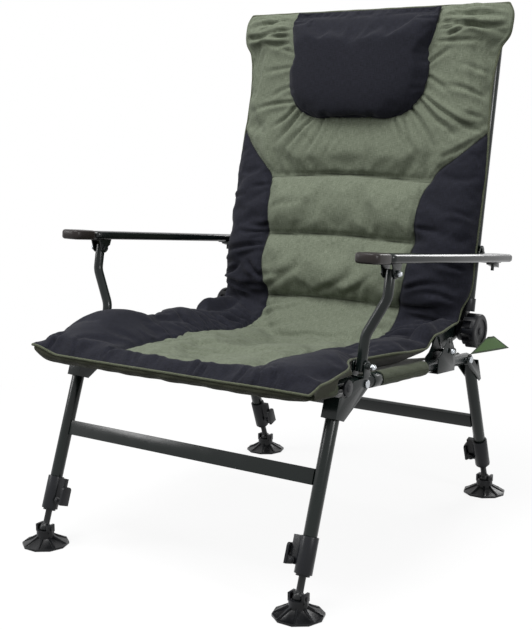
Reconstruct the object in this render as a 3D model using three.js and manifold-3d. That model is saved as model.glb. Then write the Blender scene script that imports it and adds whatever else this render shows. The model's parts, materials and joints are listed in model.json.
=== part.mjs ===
// Folding carp fishing chair with four telescopic legs, a reclining back and swinging armrests.
// Millimetres, +Z up. The chair faces -Y, the origin is on the ground under its middle,
// and the sitter's left side is +X.
import * as THREE from "three";
import { mergeVertices } from "three/addons/utils/BufferGeometryUtils.js";
import Module from "manifold-3d";

const wasm = await Module();
wasm.setup();

// Whole frame: the three tube frames share one plane per side.
const halfTrack = 250;
const fit = 0.3;
const clothGap = 0.7;
const cutOverrun = 4;
const weldDistance = 1e-4;
const degree = Math.PI / 180;
const threeQuarterTurn = 270 * degree;

// Seat frame: a U of round tube, open at the rear and lower there.
const railRadius = 10;
const railCornerRadius = 50;
const railDrop = 4.7 * degree;
const railFrontReach = 148;
const railRearReach = 12;
const pivotSpan = 379;
const collarRadius = 12;
const collarStart = 32;
const collarLength = 24;

// Feet: where the four ball joints stand, and the round mud feet under them.
const ballHalfSpacing = 328.5;
const ballHeight = 28;
const ballRadius = 9.5;
const padRadius = 38;
const padScallop = 1;
const padScallops = 10;
const padEdge = 3.5;
const padShoulderRadius = 15;
const padShoulderDrop = 13;
const padHubDrop = 2;
const padRibs = 8;
const padRibWidth = 4;
const padRibRise = 3;
const cheekThickness = 4;
const cheekHalfLength = 8;
const cheekRise = 7;
const cheekScrewRadius = 3.2;
const cheekScrewHead = 1.6;

// Legs: an outer tube, an inner tube that slides in it, and a clip that grips it.
const legRake = 20.3 * degree;
const legRadius = 10.5;
const innerLegRadius = 8;
const neckRadius = 5.5;
const neckTop = 33;
const innerLegTop = 200;
const boreEndRoom = 3;
const frontLegTop = 290;
const rearLegTop = 255;
const crossbarHeight = 24;
const crossbarThickness = 10;
const frontCrossbarAt = 171.4;
const rearCrossbarAt = 128;

// Clip: a plastic housing round both tubes, with a lever on its inner side.
const clipBottom = 33;
const clipTop = 87;
const clipRadius = 13.5;
const clipStep = 52;
const clipLipRadius = 10.5;
const clipLipHeight = 3;
const clipEarReach = 24;
const clipEarHalfWidth = 5;
const clipEarStart = 55;
const clipEarDrop = 1;
const clipPinAt = 49;
const clipPinOut = 19;
const clipPinRadius = 2.5;
const clipPinLobe = 5.2;
const leverPlateNear = 26;
const leverPlateFar = 30.5;
const leverHalfWidth = 9.5;
const leverBottom = 42;
const leverTop = 73;
const leverCheekHalfWidth = 8.5;
const leverTipRadius = 5;
const pinHeadHalfLength = 10.5;
const pinHeadRadius = 3.4;

// Sheet brackets, bolts and nuts.
const sheet = 2;
const plateClearance = 0.8;
const boltRadius = 3;
const boltHole = boltRadius + fit;
const boltHeadRadius = 6.5;
const boltHeadHeight = 3;
const nutRadius = 5.5;
const nutFlat = 4;
const nutSides = 6;
const lobeRadius = 10;
const webClearance = 0.8;

// Front and rear gussets: folded sheet round the top of each leg.
const frontGussetBottom = 258;
const frontGussetHeel = 12;
const frontGussetShoulder = 20;
const frontGussetShoulderDrop = 2.7;
const frontGussetNotchRadius = 15;
const frontGussetNotchEnd = -110 * degree;
const rearGussetBottom = 215;
const rearGussetHeel = 6;
const rearGussetNotch = 5;
const rearGussetNotchDrop = 8;
const rearGussetLobeStart = 100 * degree;

// Lock buttons in the rails beside the front gussets.
const buttonAhead = 63;
const buttonRise = 1;
const buttonRadius = 12.5;
const buttonStand = 4.8;
const buttonThickness = 4.4;
const buttonHubRadius = 6;
const buttonHubHeight = 1.6;
const buttonStemDepth = 6;
const buttonStroke = 1.8;

// Recliner: the hinge axis, the clamp on the rail and the arm between them.
const hingeAhead = 381;
const hingeRise = 52;
const backLean = 11 * degree;
const clampStart = 249;
const clampEnd = 315;
const clampShoulder = 14;
const clampBoltAt = 305;
const clampBoltRise = 21;
const clampRivetAt = 290;
const clampRivetRise = 40;
const clampRivetRadius = 4;
const clampRivetHead = 1.2;
const clampPeakHalf = 6;
const clampPeakRise = 6;
const clampRearShoulder = 18;
const clampFrontRun = 13;
const armPlateThickness = 3.7;
const armPlateHalfWidth = 10;
const armPlateLobe = 14;
const armBossRadius = 9;
const armPlateFoot = 31;
const axleRadius = 4;
const axleHole = axleRadius + 2 * fit;
const axleHeadRadius = 8;
const axleReach = 18;

// Hinge heads under the back tubes, and the round hand knobs outside them.
const hingeTongueThickness = 9.7;
const hingeTongueHalfWidth = 10;
const hingeDiscRadius = 20;
const hingeHeadRadius = 12;
const hingeHeadBottom = 33;
const hingeHeadTop = 56;
const hingeHeadFloor = 3;
const knobRadius = 31;
const knobLength = 29;
const knobLobes = 8;
const knobLobeCut = 4.5;
const knobLobeDepth = 1.8;
const knobFaceRadius = 26;
const knobFaceDish = 3;
const knobBoreRoom = 2;

// Back frame: a U of round tube, closed at the top.
const backTop = 562;
const backCornerRadius = 50;

// Armrests: two posts, two rests and their brackets.
const postLinkLength = 141.6;
const postPivotAhead = -3;
const postPivotRise = 27;
const postRadius = 8;
const postFootX = 254;
const postKneeX = 256;
const postKneeAt = 46;
const postElbowAt = 104;
const postBendRadius = 30;
const postFootEnd = 9;
const postTopEnd = 6;
const postBracketHalfLength = 10;
const postBracketGap = 18;
const postBracketLobe = 8.5;
const armSlope = 5.92 * degree;
const armX = 286;
const armWidth = 38;
const armThickness = 13.5;
const armRise = 22.3;
const armFront = -82.4;
const armRear = 433;
const armEdge = 4;
const armCornerRadius = 12;
const armCapLength = 53;
const armCapExtra = 1.3;
const armBracketGap = 17;
const armBracketFront = 14;
const armBracketRear = 16;
const armBracketLobe = 8;
const armHookRadius = 5;
const rearEarInner = 262;
const rearEarThickness = 2.5;
const rearEarLobe = 9;
const openPivotClearance = 0.8;
const rearFlangeAhead = 28;
const rearFlangeBehind = 28;
const rearFlangeWidth = 28;
const rearWedgeLength = 24;
const rearWedgeWidth = 14;
const rearWedgeDepth = 8;
const rearWedgeToe = 3;
const rearScrewRadius = 3;
const rearScrewHead = 2.5;
const rearBoltHead = 1.9;
const rearBoltHeadRadius = 5;

// Cloth and cushions.
const sleeveWall = 2;
const sleeveRadius = railRadius + fit + sleeveWall;
const clothThickness = 1.6;
const seatSag = 30;
const seatSagReach = 200;
const seatSleeveFrontEnd = -82;
const seatSleeveRearStart = 58;
const seatSleeveRearEnd = 215;
const seatClothRearEnd = 330;
const seatWaistEnd = 20;
const clothEdgeInset = 4;
const seatClothWaist = 234;
const seatClothTail = 227;
const backSag = 12;
const backSagReach = 150;
const backSleeveBottom = 277;
const backClothBottom = 62;
const backClothWaist = 231;

const seatCushionFront = -170;
const seatCushionRear = 336;
const seatCushionThickness = 36;
const seatBandThickness = 15;
const seatBandEnd = -63;
const seatBandBlend = 45;
const seatRim = 10;
const seatRimLift = 14;
const seatRimLiftRun = 55;
const seatFrontHalfWidth = 270;
const seatWaistHalfWidth = 237;
const seatMidHalfWidth = 254;
const seatTailHalfWidth = 229;
const seatSeamDepth = 5;
const innerColumns = 222;
const seamShare = 0.7;
const seatSeamRun = 16;
const crownPower = 5;
const lipRowShares = [0, 0.2, 0.6, 1];

const backCushionBottom = 8;
const backCushionHalfWidth = 270;
const backCushionLowHalfWidth = 261.4;
const backCushionWaistTop = 180;
const backCushionRim = 22;
const backHeelDepth = 34;
const backHeelTop = 75;
const backHeadStart = 482;
const backHeadEnd = 522;
const backSeamDepth = 5;

const pillowBottom = 368;
const pillowTop = 566;
const pillowHalfWidth = 148;
const pillowThickness = 42;
const pillowRim = 14;
const pillowFootShare = 0.55;
const pillowTaperShare = 0.4;

// Resolution of round things.
const tubeSides = 12;
const smallSides = 8;
const knobSides = 32;
const cornerSteps = 3;
const barCornerSteps = 2;
const arcSteps = 3;

// Places that follow from the sizes above, in the side view (y, z).
const frontBall = new THREE.Vector3(0, -ballHalfSpacing, ballHeight);
const rearBall = new THREE.Vector3(0, ballHalfSpacing, ballHeight);
const frontPivotInLeg = { across: 58.4, along: 322 };
const frontPivotY =
  frontBall.y + frontPivotInLeg.across * Math.cos(legRake) + frontPivotInLeg.along * Math.sin(legRake);
const frontPivotZ =
  frontBall.z - frontPivotInLeg.across * Math.sin(legRake) + frontPivotInLeg.along * Math.cos(legRake);

// Points of the rail frame carried to the chair's own axes, and from there to a rear leg's.
function fromRail(y, z) {
  return new THREE.Vector3(0, y, z)
    .applyAxisAngle(new THREE.Vector3(1, 0, 0), -railDrop)
    .add(new THREE.Vector3(0, frontPivotY, frontPivotZ));
}

const rearPivot = fromRail(pivotSpan, 0)
  .sub(rearBall)
  .applyAxisAngle(new THREE.Vector3(1, 0, 0), -legRake);
const rearPivotInLeg = { across: rearPivot.y, along: rearPivot.z };

const plateNear = railRadius + plateClearance;
const plateFar = plateNear + sheet;
const plateSides = [
  [halfTrack - plateFar, halfTrack - plateNear],
  [halfTrack + plateNear, halfTrack + plateFar],
];

// Geometry helpers. Each returns a three.js geometry in the piece's own frame.
const sideToWorld = new THREE.Matrix4().makeBasis(
  new THREE.Vector3(0, 1, 0),
  new THREE.Vector3(0, 0, 1),
  new THREE.Vector3(1, 0, 0),
);

function block(x0, x1, y0, y1, z0, z1) {
  return new THREE.BoxGeometry(x1 - x0, y1 - y0, z1 - z0).translate(
    (x0 + x1) / 2,
    (y0 + y1) / 2,
    (z0 + z1) / 2,
  );
}

// A flat plate from x0 to x1 whose outline is drawn in the side view.
function sidePlate(outline, x0, x1) {
  return new THREE.ExtrudeGeometry(outline, { depth: x1 - x0, bevelEnabled: false, curveSegments: arcSteps })
    .applyMatrix4(sideToWorld)
    .translate(x0, 0, 0);
}

// A flat plate from z0 to z1 whose outline is drawn from above.
function topPlate(outline, z0, z1) {
  return new THREE.ExtrudeGeometry(outline, {
    depth: z1 - z0,
    bevelEnabled: false,
    curveSegments: arcSteps,
  }).translate(0, 0, z0);
}

function rodX(radius, x0, x1, y, z, sides = smallSides) {
  return new THREE.CylinderGeometry(radius, radius, x1 - x0, sides)
    .rotateZ(-Math.PI / 2)
    .translate((x0 + x1) / 2, y, z);
}

function rodY(radius, y0, y1, x, z, sides = smallSides) {
  return new THREE.CylinderGeometry(radius, radius, y1 - y0, sides).translate(x, (y0 + y1) / 2, z);
}

function rodZ(radius, z0, z1, x, y, sides = tubeSides) {
  return new THREE.CylinderGeometry(radius, radius, z1 - z0, sides)
    .rotateX(Math.PI / 2)
    .translate(x, y, (z0 + z1) / 2);
}

// A profile of [radius, height] pairs turned about the local Z axis.
function turnedZ(profile, sides = smallSides) {
  const points = profile.map(([r, h]) => new THREE.Vector2(r, h));
  return new THREE.LatheGeometry(points, sides).rotateX(Math.PI / 2);
}

function turnedX(profile, sides = smallSides) {
  return turnedZ(profile, sides).rotateY(Math.PI / 2);
}

function circle(y, z, radius) {
  return new THREE.Shape().absarc(y, z, radius, 0, 2 * Math.PI, false);
}

// A path of straight runs with round corners, stepped only where it bends.
class RoundedPath extends THREE.Curve {
  constructor(corners, radius) {
    super();
    this.stations = [corners[0]];
    for (let i = 1; i < corners.length - 1; i += 1) {
      const before = corners[i - 1].clone().sub(corners[i]).normalize();
      const after = corners[i + 1].clone().sub(corners[i]).normalize();
      const half = before.angleTo(after) / 2;
      const middle = before.clone().add(after).normalize();
      const centre = corners[i].clone().addScaledVector(middle, radius / Math.sin(half));
      const start = corners[i].clone().addScaledVector(before, radius / Math.tan(half));
      const axis = before.clone().cross(after).normalize();
      for (let k = 0; k <= cornerSteps; k += 1) {
        const turn = -((Math.PI - 2 * half) * k) / cornerSteps;
        this.stations.push(start.clone().sub(centre).applyAxisAngle(axis, turn).add(centre));
      }
    }
    this.stations.push(corners[corners.length - 1]);
    this.steps = this.stations.length - 1;
  }

  at(u) {
    return Math.round(u * this.steps);
  }

  getPointAt(u) {
    return this.stations[this.at(u)].clone();
  }

  getTangentAt(u) {
    const i = this.at(u);
    const ahead = this.stations[Math.min(i + 1, this.steps)];
    const behind = this.stations[Math.max(i - 1, 0)];
    const here = this.stations[i];
    const forward = ahead.clone().sub(here).normalize();
    const backward = here.clone().sub(behind).normalize();
    return forward.add(backward).normalize();
  }
}

function tubeAlong(corners, radius, cornerRadius) {
  const path = new RoundedPath(corners, cornerRadius);
  return new THREE.ExtrudeGeometry(circle(0, 0, radius), {
    steps: path.steps,
    bevelEnabled: false,
    extrudePath: path,
    curveSegments: tubeSides / 2,
  });
}

// A soft sheet or pad: two facing surfaces over one grid, joined round the rim.
function padOver(across, along, front, back) {
  const points = [];
  const faces = [];
  const wide = across.length;
  for (const surface of [front, back]) {
    for (const v of along) {
      for (const u of across) {
        points.push(...surface(u, v));
      }
    }
  }
  const offset = wide * along.length;
  const quad = (a, b, c, d) => faces.push(a, b, c, a, c, d);
  for (let j = 0; j + 1 < along.length; j += 1) {
    for (let i = 0; i + 1 < wide; i += 1) {
      const k = j * wide + i;
      quad(k, k + 1, k + wide + 1, k + wide);
      quad(offset + k, offset + k + wide, offset + k + wide + 1, offset + k + 1);
    }
    const left = j * wide;
    const right = left + wide - 1;
    quad(left, left + wide, left + wide + offset, left + offset);
    quad(right + wide, right, right + offset, right + wide + offset);
  }
  for (let i = 0; i + 1 < wide; i += 1) {
    const last = (along.length - 1) * wide + i;
    quad(i + 1, i, i + offset, i + 1 + offset);
    quad(last, last + 1, last + 1 + offset, last + offset);
  }
  return new THREE.BufferGeometry()
    .setAttribute("position", new THREE.Float32BufferAttribute(points, 3))
    .setIndex(faces);
}

// Closed geometry as a solid that can be joined and cut, turned to face out.
function solid(geometry) {
  const bare = geometry.clone();
  bare.deleteAttribute("normal");
  bare.deleteAttribute("uv");
  const merged = mergeVertices(bare, weldDistance);
  const vertProperties = merged.attributes.position.array;
  const triVerts = new Uint32Array(merged.index.array);
  const made = new wasm.Manifold(new wasm.Mesh({ numProp: 3, vertProperties, triVerts }));
  if (made.volume() > 0) {
    return made;
  }
  for (let i = 0; i < triVerts.length; i += 3) {
    [triVerts[i + 1], triVerts[i + 2]] = [triVerts[i + 2], triVerts[i + 1]];
  }
  return new wasm.Manifold(new wasm.Mesh({ numProp: 3, vertProperties, triVerts }));
}

function joined(parts, cuts = []) {
  let whole = solid(parts[0]);
  for (const part of parts.slice(1)) {
    whole = whole.add(solid(part));
  }
  for (const cut of cuts) {
    whole = whole.subtract(solid(cut));
  }
  const mesh = whole.getMesh();
  return new THREE.BufferGeometry()
    .setAttribute("position", new THREE.BufferAttribute(mesh.vertProperties, 3))
    .setIndex(new THREE.BufferAttribute(mesh.triVerts, 1));
}

// Materials, one per finish.
const finishes = {
  frame: { color: 0x2a3230, roughness: 0.45, metalness: 0.3 },
  zinc: { color: 0xb9bcbe, roughness: 0.3, metalness: 1 },
  plastic: { color: 0x23242a, roughness: 0.5, metalness: 0 },
  armPad: { color: 0x26272b, roughness: 0.75, metalness: 0 },
  cloth: { color: 0x45473a, roughness: 0.9, metalness: 0 },
  cushion: { color: 0x7d8a6c, roughness: 0.9, metalness: 0 },
  pillow: { color: 0x2a2b33, roughness: 0.9, metalness: 0 },
};

function piece(group, name, geometry, finish) {
  const bare = geometry.clone();
  bare.deleteAttribute("uv");
  bare.computeVertexNormals();
  const mesh = new THREE.Mesh(bare, new THREE.MeshStandardMaterial(finishes[finish]));
  mesh.name = name;
  group.add(mesh);
}

// Seat frame, in the rail frame: y runs rearward from the front leg pivot, z up.
function seatFrameGeometry() {
  const corners = [
    new THREE.Vector3(halfTrack, pivotSpan + railRearReach, 0),
    new THREE.Vector3(halfTrack, -railFrontReach, 0),
    new THREE.Vector3(-halfTrack, -railFrontReach, 0),
    new THREE.Vector3(-halfTrack, pivotSpan + railRearReach, 0),
  ];
  const parts = [tubeAlong(corners, railRadius, railCornerRadius)];
  const outside = halfTrack + plateFar;
  const cuts = [rodX(boltHole, -outside, outside, 0, 0), rodX(boltHole, -outside, outside, pivotSpan, 0)];
  for (const side of [1, -1]) {
    const collar = rodZ(collarRadius, collarStart, collarStart + collarLength, 0, 0)
      .rotateX(-Math.PI / 2)
      .translate(side * halfTrack, 0, 0);
    parts.push(collar);
    const stemEnd = halfTrack + railRadius - buttonStemDepth - buttonStroke - fit;
    const [near, far] = side > 0 ? [stemEnd, outside] : [-outside, -stemEnd];
    cuts.push(rodX(boltHole, near, far, -buttonAhead, buttonRise));
  }
  return joined(parts, cuts);
}

// A bolt with a round head outside and a nut inside, round one leg pivot.
function legBoltGeometry(y) {
  const inner = halfTrack - plateFar - fit;
  const outer = halfTrack + plateFar + fit;
  return joined([
    rodX(boltRadius, inner - boltHeadHeight, outer + boltHeadHeight, y, 0),
    rodX(boltHeadRadius, outer, outer + boltHeadHeight, y, 0),
    rodX(nutRadius, inner - boltHeadHeight, inner, y, 0, nutSides),
  ]);
}

function acornNut(x, y, z) {
  const dome = nutRadius - clampRivetHead;
  return turnedX([
    [0, 0],
    [nutRadius, 0],
    [nutRadius, nutFlat],
    [dome, nutFlat],
    [dome * Math.SQRT1_2, nutFlat + dome * Math.SQRT1_2],
    [0, nutFlat + dome],
  ]).translate(x, y, z);
}

// Saddle bracket on the rail that carries one armrest post.
function postBracketGeometry() {
  const base = railRadius + fit;
  const ear = new THREE.Shape()
    .moveTo(postPivotAhead - postBracketHalfLength, base)
    .lineTo(postPivotAhead + postBracketHalfLength, base)
    .lineTo(postPivotAhead + postBracketLobe, postPivotRise)
    .absarc(postPivotAhead, postPivotRise, postBracketLobe, 0, Math.PI, false);
  const near = postFootX - postBracketGap / 2;
  const far = postFootX + postBracketGap / 2;
  return joined([
    sidePlate(ear, near - sheet, near),
    sidePlate(ear, far, far + sheet),
    block(
      near - sheet,
      far + sheet,
      postPivotAhead - postBracketHalfLength,
      postPivotAhead + postBracketHalfLength,
      base,
      base + sheet,
    ),
    rodX(boltRadius, near - sheet - boltHeadHeight, far + sheet + nutFlat, postPivotAhead, postPivotRise),
    rodX(nutRadius, near - sheet - boltHeadHeight, near - sheet, postPivotAhead, postPivotRise),
    acornNut(far + sheet, postPivotAhead, postPivotRise),
  ]);
}

// Folded clamp round the rear of the rail.
function reclinerClampGeometry() {
  const foot = -railRadius - fit - sheet;
  const outline = new THREE.Shape()
    .moveTo(clampStart, foot)
    .lineTo(clampEnd, foot)
    .lineTo(clampEnd, clampRearShoulder)
    .lineTo(clampRivetAt + clampPeakHalf, clampRivetRise + clampPeakRise)
    .lineTo(clampRivetAt - clampPeakHalf, clampRivetRise + clampPeakRise)
    .lineTo(clampStart + clampFrontRun, clampBoltRise)
    .lineTo(clampStart, clampShoulder);
  const [inner, outer] = plateSides;
  const armFar = inner[0] - fit;
  const armNear = armFar - armPlateThickness;
  const headOut = armNear - fit;
  const parts = [
    sidePlate(outline, ...inner),
    sidePlate(outline, ...outer),
    block(inner[0], outer[1], clampStart, clampEnd, foot, foot + sheet),
    rodX(boltRadius, headOut - boltHeadHeight, outer[1] + boltHeadHeight, clampBoltAt, clampBoltRise),
    rodX(boltHeadRadius, headOut - boltHeadHeight, headOut, clampBoltAt, clampBoltRise),
    rodX(boltHeadRadius, outer[1], outer[1] + boltHeadHeight, clampBoltAt, clampBoltRise),
    rodX(clampRivetRadius, outer[1], outer[1] + clampRivetHead, clampRivetAt, clampRivetRise),
  ];
  return joined(parts);
}

// Flat arm from the clamp to the hinge, with the axle for the back and the knob.
function reclinerArmGeometry() {
  const far = plateSides[0][0] - fit;
  const near = far - armPlateThickness;
  const outline = new THREE.Shape()
    .moveTo(clampRivetAt - armPlateHalfWidth, armPlateFoot)
    .absarc(clampRivetAt, armPlateFoot, armPlateHalfWidth, Math.PI, threeQuarterTurn, false)
    .lineTo(clampEnd, armPlateFoot - armPlateHalfWidth)
    .lineTo(hingeAhead, hingeRise - armPlateLobe)
    .absarc(hingeAhead, hingeRise, armPlateLobe, -Math.PI / 2, Math.PI / 2, false)
    .lineTo(clampRivetAt - armPlateHalfWidth, clampRivetRise + clampPeakRise);
  const bossEnd = halfTrack - railRadius - fit;
  return joined(
    [
      sidePlate(outline, near, far),
      rodX(armBossRadius, near, bossEnd, hingeAhead, hingeRise),
      rodX(axleRadius, near, halfTrack + axleReach, hingeAhead, hingeRise),
      rodX(axleHeadRadius, near - boltHeadHeight, near, hingeAhead, hingeRise),
    ],
    [rodX(boltHole, near - cutOverrun, far + cutOverrun, clampBoltAt, clampBoltRise)],
  );
}

// Push button that locks a front leg, on a stem in the rail.
function lockButtonGeometry() {
  return turnedX([
    [0, 0],
    [boltRadius, 0],
    [boltRadius, buttonStemDepth + buttonStand],
    [buttonRadius, buttonStemDepth + buttonStand],
    [buttonRadius, buttonStemDepth + buttonStand + buttonThickness],
    [buttonHubRadius, buttonStemDepth + buttonStand + buttonThickness],
    [buttonHubRadius, buttonStemDepth + buttonStand + buttonThickness + buttonHubHeight],
    [0, buttonStemDepth + buttonStand + buttonThickness + buttonHubHeight],
  ], tubeSides).translate(halfTrack + railRadius - buttonStemDepth, -buttonAhead, buttonRise);
}

// Gussets, in the leg frame: y across the leg, z along it, x out from the leg's axis.
function gussetGeometry(outline, pivot, webAt, webFrom, webTo) {
  const web = Math.sign(webAt) * (legRadius + webClearance);
  const webOuter = web + Math.sign(webAt) * sheet;
  return joined(
    [
      sidePlate(outline, -plateFar, -plateNear),
      sidePlate(outline, plateNear, plateFar),
      block(-plateFar, plateFar, Math.min(web, webOuter), Math.max(web, webOuter), webFrom, webTo),
    ],
    [rodX(boltHole, -plateFar - cutOverrun, plateFar + cutOverrun, pivot.across, pivot.along)],
  );
}

function frontGussetGeometry() {
  const face = -legRadius - webClearance - sheet;
  const { across, along } = frontPivotInLeg;
  const below = Math.atan2(along - frontGussetBottom, across - frontGussetHeel) - Math.PI / 2;
  const above = rearGussetLobeStart;
  const slope = Math.sin(legRake + railDrop) / Math.cos(legRake + railDrop);
  const button = {
    across: across - buttonAhead * Math.cos(legRake - railDrop) + buttonRise * slope,
    along: along - buttonAhead * Math.sin(legRake - railDrop) + buttonRise,
  };
  const outline = new THREE.Shape()
    .moveTo(face, frontGussetBottom)
    .lineTo(frontGussetHeel, frontGussetBottom)
    .absarc(across, along, lobeRadius, below, above, false)
    .lineTo(frontGussetShoulder, along - frontGussetShoulderDrop)
    .absarc(button.across, button.along, frontGussetNotchRadius, 0, frontGussetNotchEnd, true)
    .lineTo(face, frontLegTop);
  return gussetGeometry(outline, frontPivotInLeg, -1, frontGussetBottom, frontLegTop);
}

function rearGussetGeometry() {
  const face = legRadius + webClearance + sheet;
  const { across, along } = rearPivotInLeg;
  const below = Math.PI + Math.atan2(rearGussetBottom - along, rearGussetHeel - across) + Math.PI / 2;
  const outline = new THREE.Shape()
    .moveTo(rearGussetHeel, rearGussetBottom)
    .lineTo(face, rearGussetBottom)
    .lineTo(face, rearLegTop)
    .lineTo(rearGussetNotch, rearLegTop - rearGussetNotchDrop)
    .absarc(across, along, lobeRadius, 0, below, false);
  return gussetGeometry(outline, rearPivotInLeg, 1, rearGussetBottom, rearLegTop);
}

function outerLegGeometry(top) {
  return joined(
    [rodZ(legRadius, clipStep + fit, top, 0, 0)],
    [rodZ(innerLegRadius + fit, clipStep - cutOverrun, innerLegTop + boreEndRoom, 0, 0)],
  );
}

function innerLegGeometry() {
  return joined([
    new THREE.SphereGeometry(ballRadius, tubeSides, smallSides),
    rodZ(neckRadius, 0, neckTop, 0, 0),
    rodZ(innerLegRadius, neckTop, innerLegTop, 0, 0),
  ]);
}

function crossbarGeometry(at) {
  const reach = halfTrack - legRadius - fit;
  const half = crossbarThickness / 2;
  return block(-reach, reach, -half, half, at - crossbarHeight / 2, at + crossbarHeight / 2);
}

// Clip housing, in the leg frame, its ear on the side of the chair's middle.
function legClipGeometry() {
  const ear = -clipEarReach;
  return joined(
    [
      rodZ(clipRadius, clipBottom, clipTop, 0, 0),
      rodZ(clipLipRadius, clipBottom - clipLipHeight, clipBottom, 0, 0),
      block(ear, -clipLipRadius, -clipEarHalfWidth, clipEarHalfWidth, clipEarStart, clipTop - clipEarDrop),
      block(
        -clipPinOut,
        -clipLipRadius,
        -clipEarHalfWidth,
        clipEarHalfWidth,
        clipPinAt - clipPinLobe,
        clipEarStart,
      ),
      block(
        -clipPinOut - clipPinLobe,
        -clipPinOut,
        -clipEarHalfWidth,
        clipEarHalfWidth,
        clipPinAt,
        clipEarStart,
      ),
      rodY(clipPinLobe, -clipEarHalfWidth, clipEarHalfWidth, -clipPinOut, clipPinAt, tubeSides),
    ],
    [
      rodZ(legRadius + fit, clipStep, clipTop + cutOverrun, 0, 0),
      rodZ(innerLegRadius + fit, clipBottom - clipLipHeight - cutOverrun, clipTop, 0, 0),
      rodY(
        clipPinRadius + fit,
        -clipEarHalfWidth - cutOverrun,
        clipEarHalfWidth + cutOverrun,
        -clipPinOut,
        clipPinAt,
      ),
    ],
  );
}

// Lever with its pin, turning about the pin along the leg frame's y.
function clipLeverGeometry() {
  const outline = new THREE.Shape()
    .moveTo(leverHalfWidth, leverBottom - clipPinAt)
    .lineTo(leverHalfWidth, leverTop - clipPinAt - leverTipRadius)
    .absarc(
      leverHalfWidth - leverTipRadius,
      leverTop - clipPinAt - leverTipRadius,
      leverTipRadius,
      0,
      Math.PI / 2,
    )
    .absarc(
      leverTipRadius - leverHalfWidth,
      leverTop - clipPinAt - leverTipRadius,
      leverTipRadius,
      Math.PI / 2,
      Math.PI,
    )
    .lineTo(-leverHalfWidth, leverBottom - clipPinAt);
  const plateIn = clipPinOut - leverPlateNear;
  const plateOut = clipPinOut - leverPlateFar;
  const parts = [
    sidePlate(outline, plateOut, plateIn),
    rodY(clipPinRadius, -pinHeadHalfLength, pinHeadHalfLength, 0, 0),
    rodY(pinHeadRadius, leverCheekHalfWidth, pinHeadHalfLength, 0, 0),
    rodY(pinHeadRadius, -pinHeadHalfLength, -leverCheekHalfWidth, 0, 0),
  ];
  for (const side of [1, -1]) {
    const near = side * (clipEarHalfWidth + fit);
    const far = side * leverCheekHalfWidth;
    const [from, to] = [Math.min(near, far), Math.max(near, far)];
    parts.push(rodY(clipPinLobe, from, to, 0, 0));
    parts.push(block(plateIn, 0, from, to, -clipPinLobe, clipPinLobe));
  }
  return joined(parts);
}

// Mud foot: a fluted cone on a scalloped base, with two cheeks that hold the ball.
function mudFootGeometry() {
  const rim = new THREE.Shape();
  const stepsRound = 2 * padScallops;
  for (let i = 0; i < stepsRound; i += 1) {
    const angle = (2 * Math.PI * i) / stepsRound;
    const r = padRadius + padScallop * Math.cos(padScallops * angle);
    if (i === 0) {
      rim.moveTo(r, 0);
    } else {
      rim.lineTo(r * Math.cos(angle), r * Math.sin(angle));
    }
  }
  const shoulder = -ballHeight + padShoulderDrop;
  const parts = [
    topPlate(rim, -ballHeight, -ballHeight + padEdge),
    turnedZ(
      [
        [0, -ballHeight + padEdge / 2],
        [padRadius - padEdge, -ballHeight + padEdge / 2],
        [padRadius - padEdge, -ballHeight + padEdge],
        [padShoulderRadius, shoulder],
        [padShoulderRadius, -padHubDrop],
        [0, -padHubDrop],
      ],
      tubeSides,
    ),
  ];
  const rib = new THREE.Shape()
    .moveTo(0, -ballHeight + padEdge / 2)
    .lineTo(padRadius - padScallop, -ballHeight + padEdge / 2)
    .lineTo(padRadius - padScallop, -ballHeight + padEdge)
    .lineTo(padShoulderRadius, shoulder + padRibRise)
    .lineTo(0, shoulder + padRibRise);
  for (let i = 0; i < padRibs; i += 1) {
    const turn = (2 * Math.PI * (i + 1 / 2)) / padRibs;
    parts.push(sidePlate(rib, -padRibWidth / 2, padRibWidth / 2).rotateZ(turn));
  }
  const cheekNear = ballRadius + fit;
  const cheekFar = cheekNear + cheekThickness;
  for (const side of [1, -1]) {
    const [from, to] = side > 0 ? [cheekNear, cheekFar] : [-cheekFar, -cheekNear];
    parts.push(block(from, to, -cheekHalfLength, cheekHalfLength, -padHubDrop - padEdge, cheekRise));
    const [headFrom, headTo] = side > 0 ? [to, to + cheekScrewHead] : [from - cheekScrewHead, from];
    parts.push(rodX(cheekScrewRadius, headFrom, headTo, 0, 0));
  }
  return joined(parts, [
    new THREE.SphereGeometry(cheekNear + fit, tubeSides, smallSides),
    rodZ(ballRadius - fit, -padHubDrop, padHubDrop, 0, 0),
  ]);
}

// Back frame, in the back frame's own axes: origin on the hinge, z up the back, y rearward.
function backFrameGeometry() {
  const foot = hingeHeadBottom + hingeHeadFloor + fit;
  const corners = [
    new THREE.Vector3(halfTrack, 0, foot),
    new THREE.Vector3(halfTrack, 0, backTop),
    new THREE.Vector3(-halfTrack, 0, backTop),
    new THREE.Vector3(-halfTrack, 0, foot),
  ];
  const parts = [tubeAlong(corners, railRadius, backCornerRadius)];
  const headStart = rearEarInner + rearEarThickness + fit;
  const headEnd = headStart + rearBoltHead;
  for (const side of [1, -1]) {
    const shank = side > 0 ? [halfTrack, headEnd] : [-headEnd, -halfTrack];
    const head = side > 0 ? [headStart, headEnd] : [-headEnd, -headStart];
    parts.push(rodX(boltRadius, ...shank, 0, postLinkLength));
    parts.push(rodX(rearBoltHeadRadius, ...head, 0, postLinkLength));
  }
  return joined(parts);
}

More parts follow.
